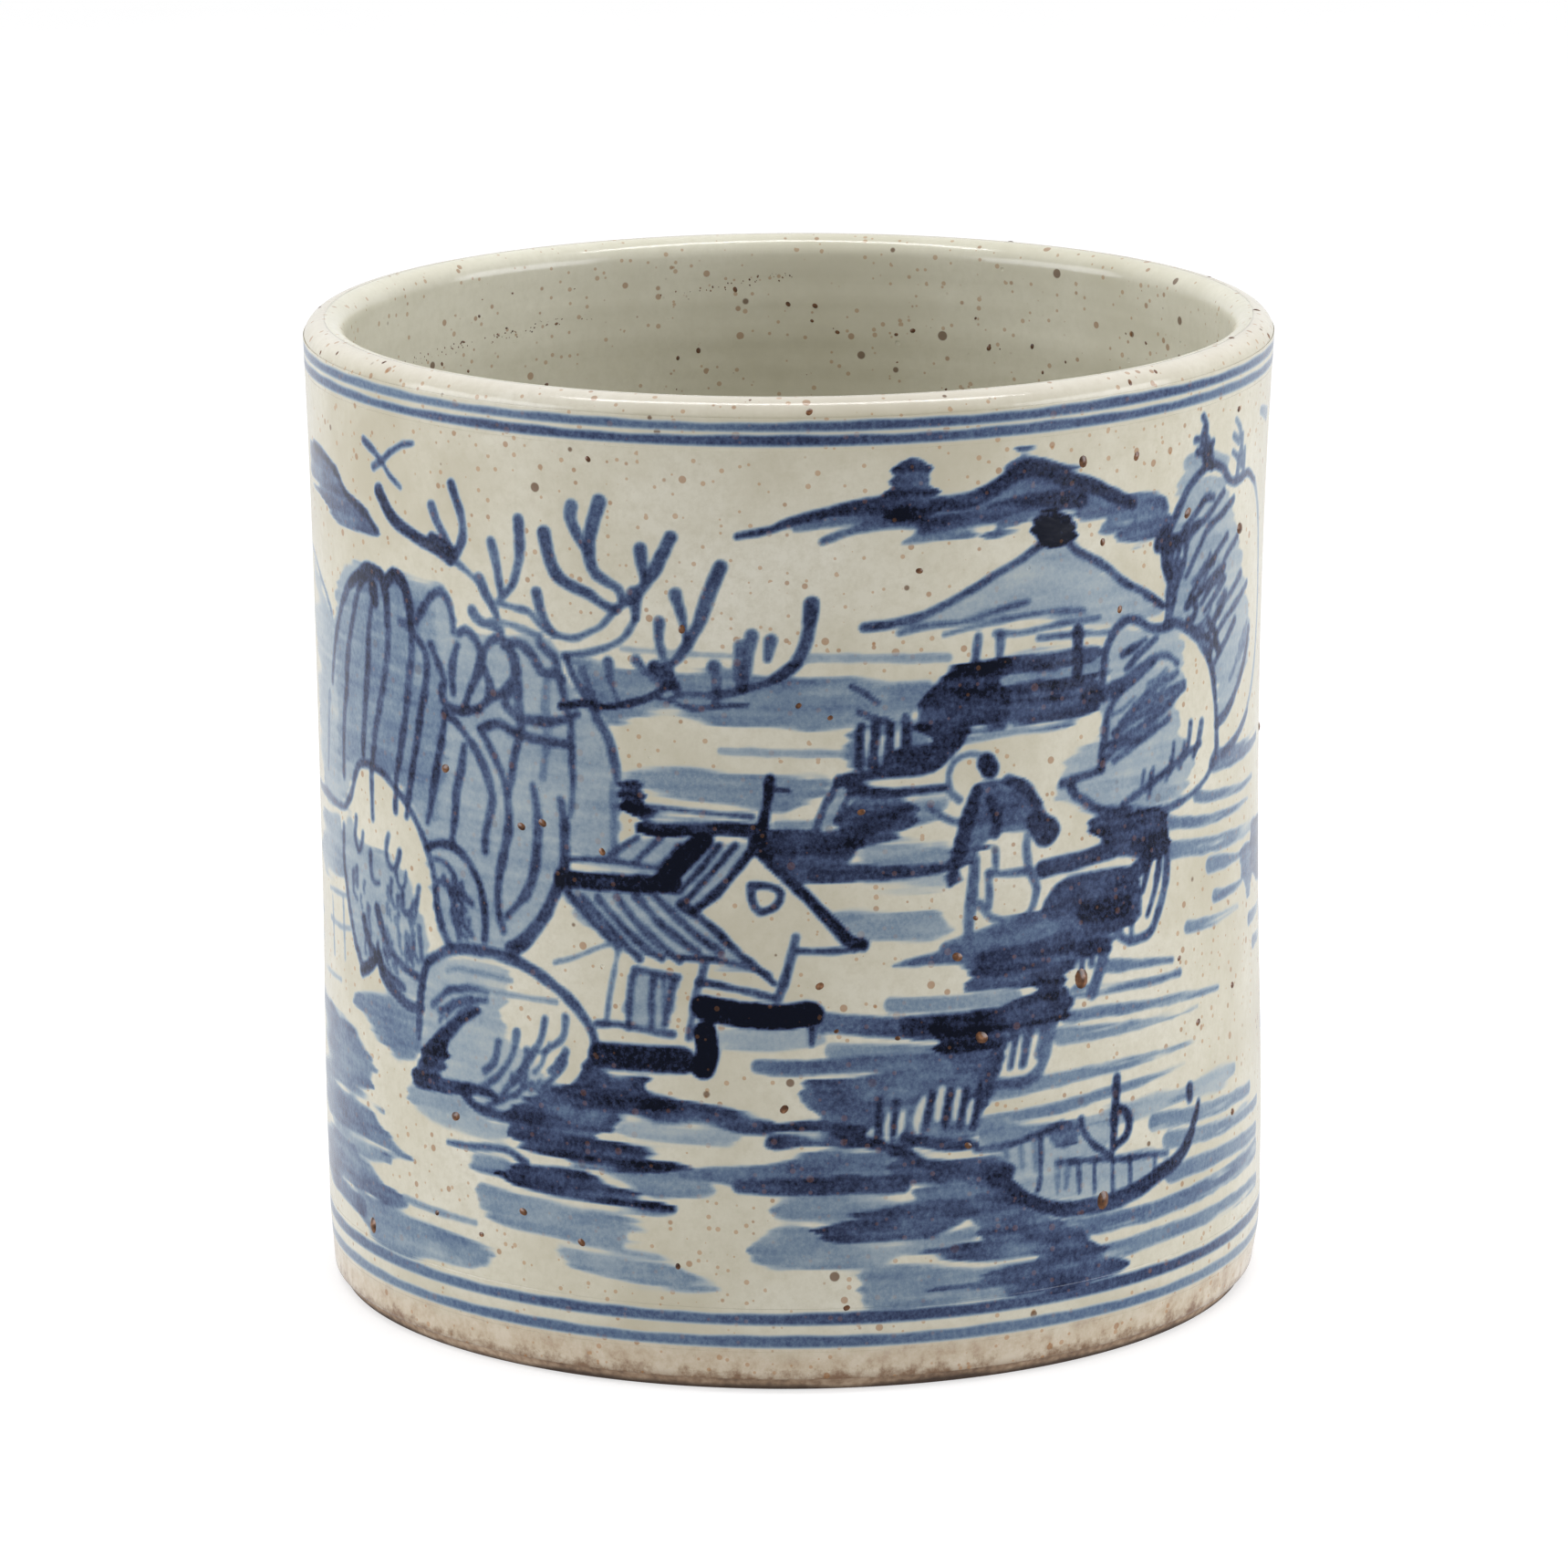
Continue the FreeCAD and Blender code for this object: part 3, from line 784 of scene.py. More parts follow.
motifs["bank behind the gable"] = (
    brush(0.88, 4.0, (-3, 86.5, 3, 86.3, 8, 85))
    + wash(0.7, (7, 88, 8.5, 91.5, 9.5, 95.5, 13, 95, 17, 93.6, 19.3, 91.5, 19, 89, 17, 87.6, 14.5, 86.2,
        10, 85.5))
    + brush(0.86, (2.4, 3.0, 2.0), (6, 86.8, 10, 87.6, 14, 89.4, 17.5, 90.8))
    + brush(0.85, (3.2, 2.6, 1.8), (-1, 82.5, 4, 82, 9, 81.7, 15, 81.3, 20, 81.3, 24.5, 81.6))
    + wash(0.86, (-4, 88, 4, 88.5, 9, 87.8, 11, 85.5, 9, 83, 12, 82.4, 10, 80.3, 2, 80.3, -2, 81.5, -4, 84))
    + brush(0.88, (1.8, 2.0, 2.4), (7.5, 95.5, 10, 96.3, 15, 96.8, 20, 97, 22.5, 97.8, 25, 100))
    + brush(0.88, (1.8, 1.2), (9, 95, 12, 93.9, 16, 93.5, 24, 93.8))
    + brush(0.74, 1.3, (7.5, 96, 6, 93, 4.8, 90.5, 4, 88), (9.3, 94, 8, 91.5, 7, 89.5))
    + wash(0.4, (4.5, 88, 7.5, 95.5, 9.5, 94.5, 8, 90), (17, 92.5, 24, 93, 24, 90.5, 18, 88.5))
    + brush(0.8, 1.4, (9.3, 110, 11.5, 108.8, 13.3, 107.3), (10.5, 106, 12.5, 105, 14.5, 104.5))
    + wash(0.5, (9.5, 103.6, 20, 105, 21, 98, 9.5, 97))
    + brush(0.82, (1.3, 1.9), (10.8, 104, 10.6, 98), (13, 104.6, 12.6, 98), (15.2, 104, 14.8, 98),
            (17.5, 105, 17.7, 98))
    + brush(0.85, (1.4, 2.8), (15.5, 99.6, 17.5, 98.8, 20, 98.6))
    + spare(0.7, (11.8, 103, 11.6, 99.5), (14.1, 102, 13.7, 99.5), (16.4, 103.5, 16.2, 100.5))
)

motifs["upper bank"] = (
    wash(
        0.87,
        (18.5, 104.5, 19.5, 107.5, 22, 109.5, 25, 111.5, 30, 112, 34, 112.6, 34.5, 109.5, 33, 109, 34.5, 108,
         34, 102.3, 28, 102, 26, 100, 23, 99.3, 20.5, 101.5),
    )
    + wash(0.75, (33, 112.6, 42, 113.3, 50, 113, 51, 111, 42, 109.7, 33, 109.6))
    + wash(0.78, (33, 108.4, 40, 108.6, 50, 108, 51, 104, 45, 101.8, 34, 102.3))
    + wash(0.45, (33, 112, 50, 112, 51, 105, 33, 105))
    + brush(0.88, (2.0, 2.6, 3.0), (16.5, 99, 21, 99.5, 25.5, 101))
    + brush(0.45, 1.3, (27, 100.7, 35, 101.2, 44, 101.3), dryness=0.4)
)

motifs["pavilion"] = (
    wash(0.92, (37.3, 133, 38.5, 134.5, 42, 134.8, 44, 133, 45, 131, 43, 129.3, 40.5, 129.3, 38.5, 130.8))
    + wash(
        0.3,
        (40.5, 129.5, 43.5, 129, 50, 124.5, 58, 119.3, 63.5, 116, 62, 115, 50, 116, 46, 117, 35, 118, 24,
            118,
         17, 118, 20, 120.3, 28, 123.5, 35, 127),
    )
    + brush(0.75, (1.1, 1.5), (40, 129.8, 36, 127.5, 31, 125.2, 26, 122.7, 21, 120.5, 16, 119.2, 11.3,
        118.7))
    + brush(0.75, 1.3, (43, 129.8, 45.5, 127.5, 50, 125, 55, 121.5, 60, 118.8, 64, 116.3))
    + brush(0.6, 1.0, (16.5, 117.7, 21, 118.5, 26, 118.6, 31, 119.7, 37, 120.8),
            (23.5, 117, 28, 117.8, 34, 118.5, 40, 118.8, 47, 118.3), (31.5, 116.5, 36, 116.2, 42, 116.7,
                50, 116.7),
            (39, 115, 45, 114.8, 52, 114.2))
    + brush(0.7, 1.4, (28.8, 116.3, 28.3, 112.3), (32.4, 116.3, 32.3, 112.3))
    + brush(0.82, 1.9, (46, 115.3, 46.2, 112, 46, 107.5))
)

motifs["far hills"] = (
    brush(0.85, (0.9, 1.6, 3.0), (-7.5, 132.7, -3, 133.6, 0, 134.7, 5, 136, 10, 136.8, 14, 137))
    + brush(0.66, (1.2, 1.8), (5, 132, 8, 133, 12, 134, 17, 134.3))
    + brush(0.6, (1.0, 2.6), (1, 133.8, 6, 134.6, 12, 135.2, 18, 134.5))
    + wash(
        0.82,
        (14, 137, 14.5, 139.5, 15.5, 142, 17, 143.8, 18, 144.3, 20, 143.2, 21.2, 141, 21.5, 139.5, 22.5,
            137.5,
         22, 135, 17, 134),
    )
    + wash(
        0.6,
        (22.5, 137.5, 27, 138.3, 31, 139.8, 33, 141, 34.5, 143.2, 35.3, 143.8, 38, 142.8, 41, 141, 43, 140,
         47, 139, 49, 137.5, 53, 136.2, 55.5, 134.8, 58, 134.3, 61, 134, 63, 133.2, 64.5, 131.5, 65, 130,
         65, 127.5, 62, 126.8, 58, 127, 54.5, 127.8, 53, 128.5, 56, 129.8, 51, 129.9, 49.8, 130.8, 51, 131.8,
         46, 132, 44.5, 133, 37, 133, 35, 132.3, 31, 131, 29.5, 131.2, 31, 132.8, 26, 131.9, 20, 131, 16.5,
         131,
         18, 132.5, 19.5, 134),
    )
    + brush(0.85, (2.3, 2.8, 2.0), (22, 136.8, 27, 137, 32, 139, 36, 141, 40, 140, 44, 138.3, 48, 137, 52,
        135,
                                    56, 133.3))
    + brush(0.76, 2.6, (20, 133.5, 24, 134, 30, 134.6, 37, 136, 46, 135))
)

motifs["rear cliff"] = (
    wash(
        0.28,
        (65, 128, 69.5, 133, 75, 135, 80, 133, 84, 129, 88, 122, 91, 115, 95, 109, 95, 103, 90, 98.5, 85,
            95.8,
         81, 95.5, 79.5, 103, 74, 109.5, 66, 113.5),
        (66, 133, 69, 137.5, 73, 139, 78, 138, 82, 135.5, 80.5, 133.6, 75, 135.2, 69.5, 132.8),
    )
    + wash(0.34, (64, 127, 70, 128, 78, 127, 80, 121, 81, 115, 79, 108, 73, 110.5, 66, 114))
    + brush(
        0.68,
        (1.9, 1.7, 1.6, 1.2),
        (64.5, 128, 66, 129, 67.3, 131, 69.5, 133.5, 72, 135, 75, 136, 78, 135.5, 80.5, 134.3, 82.5, 132.5,
         85, 131.8, 88, 132, 91, 132, 95, 130),
        (79, 89, 84, 90, 90, 91.5, 95, 94),
        (80.5, 95, 85, 96.5, 90, 100, 93.5, 104, 94.5, 107),
    )
    + brush(0.36, 1.4, (95, 130, 98, 126, 100, 121, 101.5, 113, 101.5, 107, 100, 101, 97, 96.5, 93, 93))
    + brush(0.7, (1.3, 1.0), (72.6, 143.8, 73.8, 142.3, 73.6, 140.5), (70.8, 140.6, 72.6, 140.4, 74.3,
        139.2),
            (71.5, 138.7, 73.5, 138), (76, 139.5, 74.8, 138), (73, 142, 72.5, 139.5))
    + brush(0.72, (2.6, 3.4, 1.8), (74, 139.6, 74.6, 137.6, 76, 135.8))
    + brush(0.52, (1.1, 1.5), (84, 141.5, 85.8, 140, 86.6, 137.5, 86, 135, 85.5, 132.5), (83.3, 139.2,
        85.6, 137.8),
            (83.3, 136.6, 85.8, 135.3), (88.5, 136.3, 88.3, 133), (87.2, 138.6, 87.3, 134))
    + brush(
        0.7,
        (1.5, 1.1),
        (77, 130.8, 74.5, 131, 71.5, 129, 68.6, 127.6),
        (80.5, 131, 77, 129, 73, 127.2, 70, 125.5),
        (84.3, 129.1, 80, 127.6, 75.5, 126, 72.5, 123, 69.6, 119.8),
        (65.3, 126.5, 65.8, 123, 65.2, 118, 64.9, 114.5),
        (69.6, 125.5, 69, 122, 67.2, 118.5, 66, 115),
        (82.4, 123.8, 79, 122, 76.8, 120.4),
        (86.8, 122.9, 84, 121.6, 81.8, 120.4),
        (78, 121, 74.5, 119.5, 71, 116.6),
        (81.8, 119.4, 77, 118, 72.4, 116),
        (81.1, 118.5, 77.5, 117, 74.3, 114.8),
        (82, 117.3, 79, 115.5, 75.5, 113.5),
        (82.7, 114.8, 79.5, 112, 76.4, 109),
        (89, 116.6, 84, 114.2, 80.5, 112.8, 78, 110.4),
        (92.4, 114.4, 86.5, 112.2, 82, 110.5, 79.3, 108.5),
        (86.8, 109.8, 83, 107.3, 79.3, 104.8),
    )
    + brush(0.76, (1.6, 1.2), (70.2, 115.3, 71.6, 116, 73, 114.4, 71.8, 112.8, 70.5, 113),
            (70.5, 112, 74, 110.5, 77.4, 108.6), (77.4, 106, 78.5, 108, 81, 106.5),
            (77, 111.5, 79, 109.8, 80.5, 106.5))
    + brush(0.8, (2.6, 2.2, 1.6), (62.5, 126, 65.5, 125.6, 69.5, 126.6, 72.5, 127.4), (64, 127.5, 64.2,
        123, 65.4, 120.5))
    + hatching(0.62, (0.9, 0.7), 9, (3.0, 2.2), 0.06, 70, 119, 79, 121, 82, 112, 74, 110)
    + hatching(0.45, (1.1, 0.9), 12, (2.4, 1.6), 0.06, 85, 103, 92, 107.5, 94, 103, 86, 98)
    + hatching(0.68, (1.1, 0.8), 6, (1.2, 3.0), 0.08, 64.5, 124, 69.5, 124, 68.5, 116, 65, 115)
)

motifs["front cliff"] = (
    wash(
        0.28,
        (52, 114, 56, 115, 61, 113, 68, 112, 69.5, 108, 69, 104, 68, 100, 69, 96, 72, 93, 73, 90, 71, 87,
            66, 86,
         58, 86, 52, 88, 51, 96, 51.5, 105),
        (42, 90.5, 44, 95.5, 49, 97.5, 51, 97, 51, 87, 45, 88.5),
    )
    + wash(0.34, (52, 105, 60, 108, 66, 106, 67, 101, 62, 98, 55, 95, 51.5, 97), (48, 91, 56, 91.5, 64, 90,
        68, 88,
                                                                                 64, 86, 50, 86))
    + brush(
        0.72,
        1.5,
        (65, 113.5, 68, 113, 70.5, 111.5, 73, 110, 75, 108.3, 76.8, 106.5, 78.2, 104.3, 79.3, 101.5, 80, 98,
         80.5, 94, 80.5, 91, 79.5, 89),
        (51, 107, 51.3, 110.5, 52.3, 113, 54, 114.8, 56, 115.5, 58.5, 114.8, 61, 113.5, 64, 113, 66, 113),
        (55, 105, 53, 103, 52, 101, 51.5, 98, 51, 95.5, 51, 93.5),
        (43.5, 92.3, 46, 92.7, 49, 93, 51, 93.3),
        (45, 92, 46, 90, 48, 88.8, 50, 87.5, 52, 86.5),
    )
    + brush(0.78, (3.4, 2.6, 1.2), (48, 104.6, 54, 105.4, 58, 106.6, 62, 108))
    + brush(
        0.68,
        (1.4, 1.1),
        (59, 85.5, 64, 84.7, 69, 85, 74, 86, 77, 87.3, 79, 88.8),
        (56, 108, 59, 110, 62.4, 111.6),
        (55, 110.3, 58, 111.2, 60, 111.8),
        (57.4, 107, 61, 108.4, 65, 108.6, 68, 106.8),
        (56, 100.4, 60, 103, 64, 104.5, 68, 105.4),
        (55, 99.8, 60, 101.8, 65, 102.6, 70, 103.5),
        (53.6, 98.5, 59, 100.2, 65.5, 101, 70, 102.6),
        (52.4, 96.6, 56, 97.8, 61.8, 99.2, 66.5, 100.8),
        (51.8, 94.8, 55.5, 96.5, 60.5, 96.8, 66, 98.6),
        (53.6, 94.2, 57.5, 95.8, 63, 98),
        (55.5, 87, 59, 88.4, 62.5, 89.5, 66.8, 91, 71, 92.2, 75, 93),
        (72, 96.8, 71.7, 94.5, 70.6, 92),
        (75.3, 96.3, 74.6, 93.8, 73, 91.5),
    )
    + hatching(0.66, (0.9, 0.7), 7, (1.0, 3.6), 0.06, 57.5, 89.5, 73.5, 92, 72.5, 89.5, 58, 86.5)
    + hatching(0.62, (0.9, 0.7), 9, (5.0, 1.8), 0.06, 53, 103, 61, 106, 62, 99, 52.5, 95)
)

motifs["bank under the cliff"] = (
    wash(
        0.84,
        (48.3, 85.3, 50, 86.3, 53, 87, 58, 86, 62, 85.2, 65, 84.5, 66.3, 82.5, 66.3, 80, 66, 78.5, 63, 77.8,
         60.5, 78, 58.5, 79.5, 56, 81.3, 52, 82, 50, 83.5),
    )
    + brush(0.82, 2.8, (40, 79.5, 47, 80, 55, 80.5, 60, 79.5))
    + brush(0.78, 3.0, (41.5, 74, 44, 76, 50, 76.5, 57, 76, 61, 77.5))
    + wash(0.76, (40, 74, 46, 76, 58, 76, 59, 70, 54, 67, 46, 66, 38, 66, 42, 69))
    + brush(0.95, (3.5, 3.0), (48, 71.8, 56, 71.5))
    + brush(0.8, (1.6, 1.2), (64, 78, 63.5, 75, 62.5, 72, 61, 69), (61.5, 78, 60, 73))
    + brush(0.7, (1.8, 1.4), (65.8, 79, 65.7, 75, 64.8, 71.5, 63.5, 69, 62, 66.5, 60, 65.7, 57, 65.8, 55,
        66.8,
                              53.5, 68))
    + brush(0.66, 1.2, (57.8, 74, 57.5, 70, 57.3, 66.5), (59.3, 73, 59.2, 69.5), (55.5, 70, 55, 67.5),
            (47.5, 69, 47, 63), (49.3, 67, 49, 63.5))
    + brush(0.66, 2.2, (52, 66.5, 51, 63, 49, 59))
    + brush(0.8, 1.3, (46, 65.5, 52.5, 65.3))
)

motifs["ripples on the right"] = (
    brush(
        0.52,
        (2.2, 1.6, 1.2),
        (66, 82.5, 71, 81.5, 76, 80.7, 82, 80.3, 90, 79.8, 96, 79.5),
        (74, 85, 79, 84, 85, 83.3, 92, 82.8, 99, 83),
        (71.5, 65, 76, 64.6, 82, 64.2, 90, 64),
        (80.3, 68, 85, 67.6, 92, 67.5),
        (52, 62.7, 57, 62, 62, 61.5, 67, 60.8),
        (46, 59.8, 50, 59.3, 56, 58.9, 62, 58.5, 69, 58.4),
        (44, 56, 50, 55.8, 57, 55.3, 65, 54.8, 73, 54.2, 81, 53.5),
        (97, 60.5, 108, 60.3),
        (100, 56, 108, 55.8),
        dryness=0.35,
    )
    + brush(
        0.48,
        (3.0, 2.6, 2.2),
        (66, 78, 71, 77.5, 78, 76.5, 90, 75.5, 101, 75),
        (66, 27.3, 78, 27, 90, 26.5, 100, 26),
        (50, 17.8, 58, 18, 68, 18.3, 80, 18, 92, 17.8, 101, 17.5),
        (65.5, 32.8, 72, 32, 80, 31.3, 90, 31, 101, 30.5),
        (62, 36.3, 68, 35.8, 76, 35, 84, 34.5, 95, 34),
        dryness=0.2,
    )
    + brush(0.57, 3.0, (44, 23, 52, 22.6, 62, 22.4, 72, 22.6, 82, 22.8, 100, 23), dryness=0.15)
    + brush(
        0.46,
        (3.0, 1.8, 0.8),
        (30, 46.2, 38, 46.4, 48, 46.8, 56, 46.8, 64, 46.8, 75, 47),
        (27, 41, 33, 41.6, 44, 42.3, 50, 42.9, 56, 43.2, 63, 43.6, 70, 43.8),
        (43, 53.3, 50, 52.7, 57, 52.4, 65, 52.3, 74, 52),
        (30, 39.6, 45, 38.5, 52, 38.5, 60, 38.6, 68, 38.8, 78, 38.8, 87, 38.3),
        (78.5, 73.3, 84, 72.7, 90, 72, 95, 72),
        dryness=0.45,
    )
    + brush(0.55, (3.6, 3.0, 2.0), (80, 89.3, 87, 88.6, 95, 88.4, 103, 88.6), dryness=0.2)
    + wash(0.55, (91, 71.5, 93, 73, 97, 73, 99, 70, 99, 66, 96, 64, 94, 66.5, 92, 69))
    + brush(0.39, (1.5, 2.2), (97, 140.5, 103, 139))
)

motifs["boat"] = (
    brush(
        0.9,
        (2.2, 2.6, 3.0, 2.4, 1.0),
        (30, 33, 33, 31.5, 36, 29, 40, 27, 45, 26, 52, 25.8, 58, 26.5, 63, 28, 67, 29, 69.5, 30.3, 71.5,
            32.5,
         73, 35, 73.8, 37),
    )
    + brush(0.72, 1.3, (42, 33.7, 46, 33.3, 50, 32.8, 55, 32, 60, 31.5, 65, 30.8))
    + brush(0.7, 1.1, (46, 32.5, 46, 28.5), (49, 33, 49, 28), (52.7, 32, 52.7, 27.5), (56.4, 31.8, 56.4, 28),
            (62, 31, 62, 28.5))
    + brush(0.8, 1.6, (53.8, 44.8, 53.6, 42, 53.3, 40, 53, 37, 52.8, 34),
            (53.5, 40, 55.5, 39.5, 56.3, 37.5, 55.5, 35.5, 53.5, 34.5))
    + brush(0.75, 1.2, (46.5, 39.8, 46.8, 38, 48, 36.3, 49.2, 35, 52.5, 33), (28, 37.5, 33, 37.5, 38, 38.5,
        43, 39.5),
            (39, 38, 39, 33, 38.5, 30))
    + wash(0.72, (40, 36.5, 41, 39.8, 46, 39.8, 47, 37, 44, 35.5))
    + wash(
        0.3,
        (31, 34.5, 32, 38.5, 40, 39.5, 52, 40, 54, 36, 50, 33.5, 62, 32, 60, 28, 48, 27, 38, 28.5, 33, 31.5),
        (52, 41, 84, 40.5, 84, 37.5, 60, 37.2, 55, 38),
    )
    + brush(0.5, 1.0, (33, 37, 33.2, 34), (35.5, 37.4, 35.8, 34), (38, 37.8, 38.3, 33), (42, 34, 42, 29),
            (44, 33.5, 43.5, 29.5))
    + brush(0.85, 1.8, (71.3, 40, 71.3, 38))
)

motifs["shadow of the near bank"] = (
    wash(
        0.7,
        (27, 31, 33, 31, 38, 28, 42, 25.5, 44, 24, 47, 22, 51, 18.5, 54, 16.5, 56.5, 14.9, 50, 13.5, 38,
            13.3,
         33, 14, 30, 15, 24, 15.5, 20, 16, 25, 17.3, 30, 18, 35, 18.5, 38, 19.3, 30, 19.5, 25, 20.5, 20,
         21.5,
         15.5, 22, 20, 23, 25, 23, 29, 23.5, 27, 26, 25, 28),
    )
    + wash(0.45, (10, 19.8, 14, 21, 20, 20.5, 30, 19, 40, 19, 40, 14, 30, 13.8, 12, 13.8, 10, 16))
)

motifs["middle banks and reflections"] = (
    brush(0.66, 3.2, (5, 58.7, 12, 57.8, 20, 57.3))
    + brush(0.8, 3.4, (18, 57.4, 28, 57.3, 32, 57.5))
    + wash(0.86, (22, 58.5, 25, 59.2, 32, 58.5, 32.5, 53.5, 27, 52.5, 22.5, 53.5))
    + wash(0.62, (17, 59, 25, 59.4, 33, 59, 34, 55, 25, 54.6, 18, 55.2))
    + brush(0.42, 2.4, (6, 54.3, 13, 54, 22, 53.8), dryness=0.3)
    + brush(0.62, (2.4, 2.8), (-5, 52, 0, 51.7, 8, 52, 16, 52, 24, 51.7, 30, 51.5))
    + wash(
        0.64,
        (0.7, 47.5, 2.5, 49.8, 10, 50.3, 20, 50.8, 28, 51.3, 32, 51, 31, 47, 29.5, 44, 28.5, 40.5, 24, 39.6,
         18, 40.2, 12, 41, 8, 41.2, 5, 42.5, 3, 44.5, 2, 46),
    )
    + wash(0.72, (24, 53, 32.5, 54, 33, 51, 31.5, 47.5, 30, 44.5, 28.5, 46, 27, 48.5, 25, 50))
    + wash(0.8, (-8, 43, -2, 43.2, 3, 44.2, 6, 43.5, 10, 42.5, 12, 41.5, 9, 40.9, 4, 41.6, -1, 42, -8, 42))
    + wash(0.78, (-3.8, 40.5, -2, 41.3, 4, 41, 9, 41.2, 14, 40.5, 20, 39.8, 17, 38.2, 10, 38.9, 2, 39.2,
        -3, 39))
    + spare(
        (1.1, 1.5, 0.8),
        (11.9, 41.6, 11.5, 40.3),
        (14.6, 44, 14.2, 42, 14.1, 40),
        (16.5, 44, 16.2, 42.5, 15.9, 41),
        (20, 46, 19.2, 44, 18.7, 42.4, 18.8, 40.6),
        (22.8, 47.4, 22.3, 45.5, 22, 43),
        (25.5, 46.8, 25, 44.8, 24.7, 42.8),
        (27.7, 45, 27.2, 43.8, 26.8, 42),
    )
    + brush(
        0.78,
        (1.2, 1.0),
        (13, 46.5, 12.9, 43, 12.7, 40.5),
        (15.6, 46, 15.2, 43, 15, 41),
        (21.3, 47, 20.5, 44, 20, 41.5),
        (24.1, 47, 23.6, 44, 23, 41.5),
        (26.7, 47, 26, 44, 25.6, 41.5),
        (29, 47.5, 28.4, 44.5, 27.6, 41),
    )
    + wash(0.6, (31, 56, 36, 57, 42, 56.5, 42, 54.5, 38, 54.2, 33, 53.5, 31, 52))
    + brush(0.7, (2.2, 1.8), (32.5, 54, 31.5, 50.5, 30, 47), (35, 56, 34.5, 53, 34, 50),
            (37.2, 56, 36.7, 53, 36, 50))
    + spare((0.6, 1.0, 0.6), (34, 53.3, 33.4, 51, 32.8, 48.8), (35.9, 54, 35.3, 51, 34.7, 48.8))
    + brush(0.62, 1.8, (30.7, 47.7, 34, 47.2, 37, 47.3, 39, 48.5, 40, 50.5, 40.7, 53, 42, 56))
    + brush(0.62, 1.5, (40.3, 56, 39.6, 53.5, 38.9, 51))
    + wash(
        0.8,
        (26.5, 63.3, 29, 65.5, 35, 66, 46, 65, 44, 62, 46, 58.5, 43, 55.5, 38, 55.5, 33, 56, 31, 58, 34, 60,
         38, 61, 33, 61.5, 29, 62.3),
    )
    + brush(0.66, (0.6, 2.6, 4.2), (15.5, 67, 20, 67.5, 26, 67.8, 33, 68, 44, 69))
    + brush(0.58, 2.5, (24, 69, 30, 70.5, 38, 71.5, 44, 72))
    + brush(0.76, 4.0, (30, 66, 38, 66.5, 44, 67.5))
    + brush(0.4, 2.4, (15, 61, 20, 60.6, 35, 60.4))
    + brush(0.8, (1.6, 2.6), (8, 40.5, 12, 39.7, 16, 38, 19, 36.6, 24, 35, 30, 34.2, 33, 33.3))
    + brush(0.86, (1.8, 2.2, 1.4), (17, 40.3, 20, 39.5, 24, 38.6, 28, 38.4))
    + wash(0.72, (17, 39.8, 19.5, 37.5, 25, 36, 31, 35.6, 34, 33.5, 33, 31, 26, 32, 18, 33.2, 14, 35.5))
    + spare((0.5, 1.5, 0.7), (18.5, 38.4, 20.5, 37.6, 24.7, 36.9))
    + brush(0.78, (2.4, 3.4, 2.2), (-8, 33.5, 0, 33.3, 8, 33.7, 14, 33.2, 16.5, 33))
    + brush(0.6, (1.6, 3.0, 4.0), (-17, 34.8, -12, 35.1, -6, 35, 0, 35.2))
    + wash(0.6, (-8, 36, -2, 37.8, 4, 39.6, 10, 39.3, 16, 37.8, 18, 35.5, 8, 34, -8, 34))
    + wash(0.44, (-3, 28.5, -2, 31, 4, 32.2, 12, 31.6, 16, 30.4, 22, 30.9, 25, 29.2, 14, 28.4, 6, 27))
    + wash(
        0.8,
        (2, 26.6, 5, 27.6, 10, 28.9, 17, 30.2, 23, 30.6, 26, 30.4, 28, 28, 26, 26, 22, 24.8, 18, 24.2, 12,
            24,
         6, 24.4),
    )
    + wash(0.6, (18, 32, 24, 33.5, 30, 33, 33, 31, 30, 28, 25, 26.5, 21, 28.5))
    + wash(
        0.43,
        (-6.5, 22.5, -5.5, 25.5, -2, 27.8, 2, 27.6, 6, 25, 12, 24.6, 22, 25, 28, 26.5, 28, 24, 22, 22.5,
            16, 21.5,
         12, 20, 5, 20.2, 0, 20.6, -3, 20.6),
        (9, 84.5, 11, 85.5, 18, 86, 24, 85.5, 26, 83, 24, 82.3, 12, 82.8),
    )
    + wash(0.37, (5, 75.5, 10, 76, 18, 75.5, 22, 75, 24, 72.5, 24, 71.3, 12, 71, 8, 72, 5, 73.5))
    + wash(0.24, (11, 80.5, 14, 81, 22, 80.6, 26, 79.8, 24, 78.2, 16, 78.6, 11, 79.3))
    + wash(
        0.66,
        (24, 69.3, 30, 71.3, 38, 72.5, 46, 74, 56, 76, 57, 70, 52, 66, 46, 64, 40, 62.5, 33, 61.5, 27, 62.5,
         28.5, 65, 26, 66.5),
    )
)

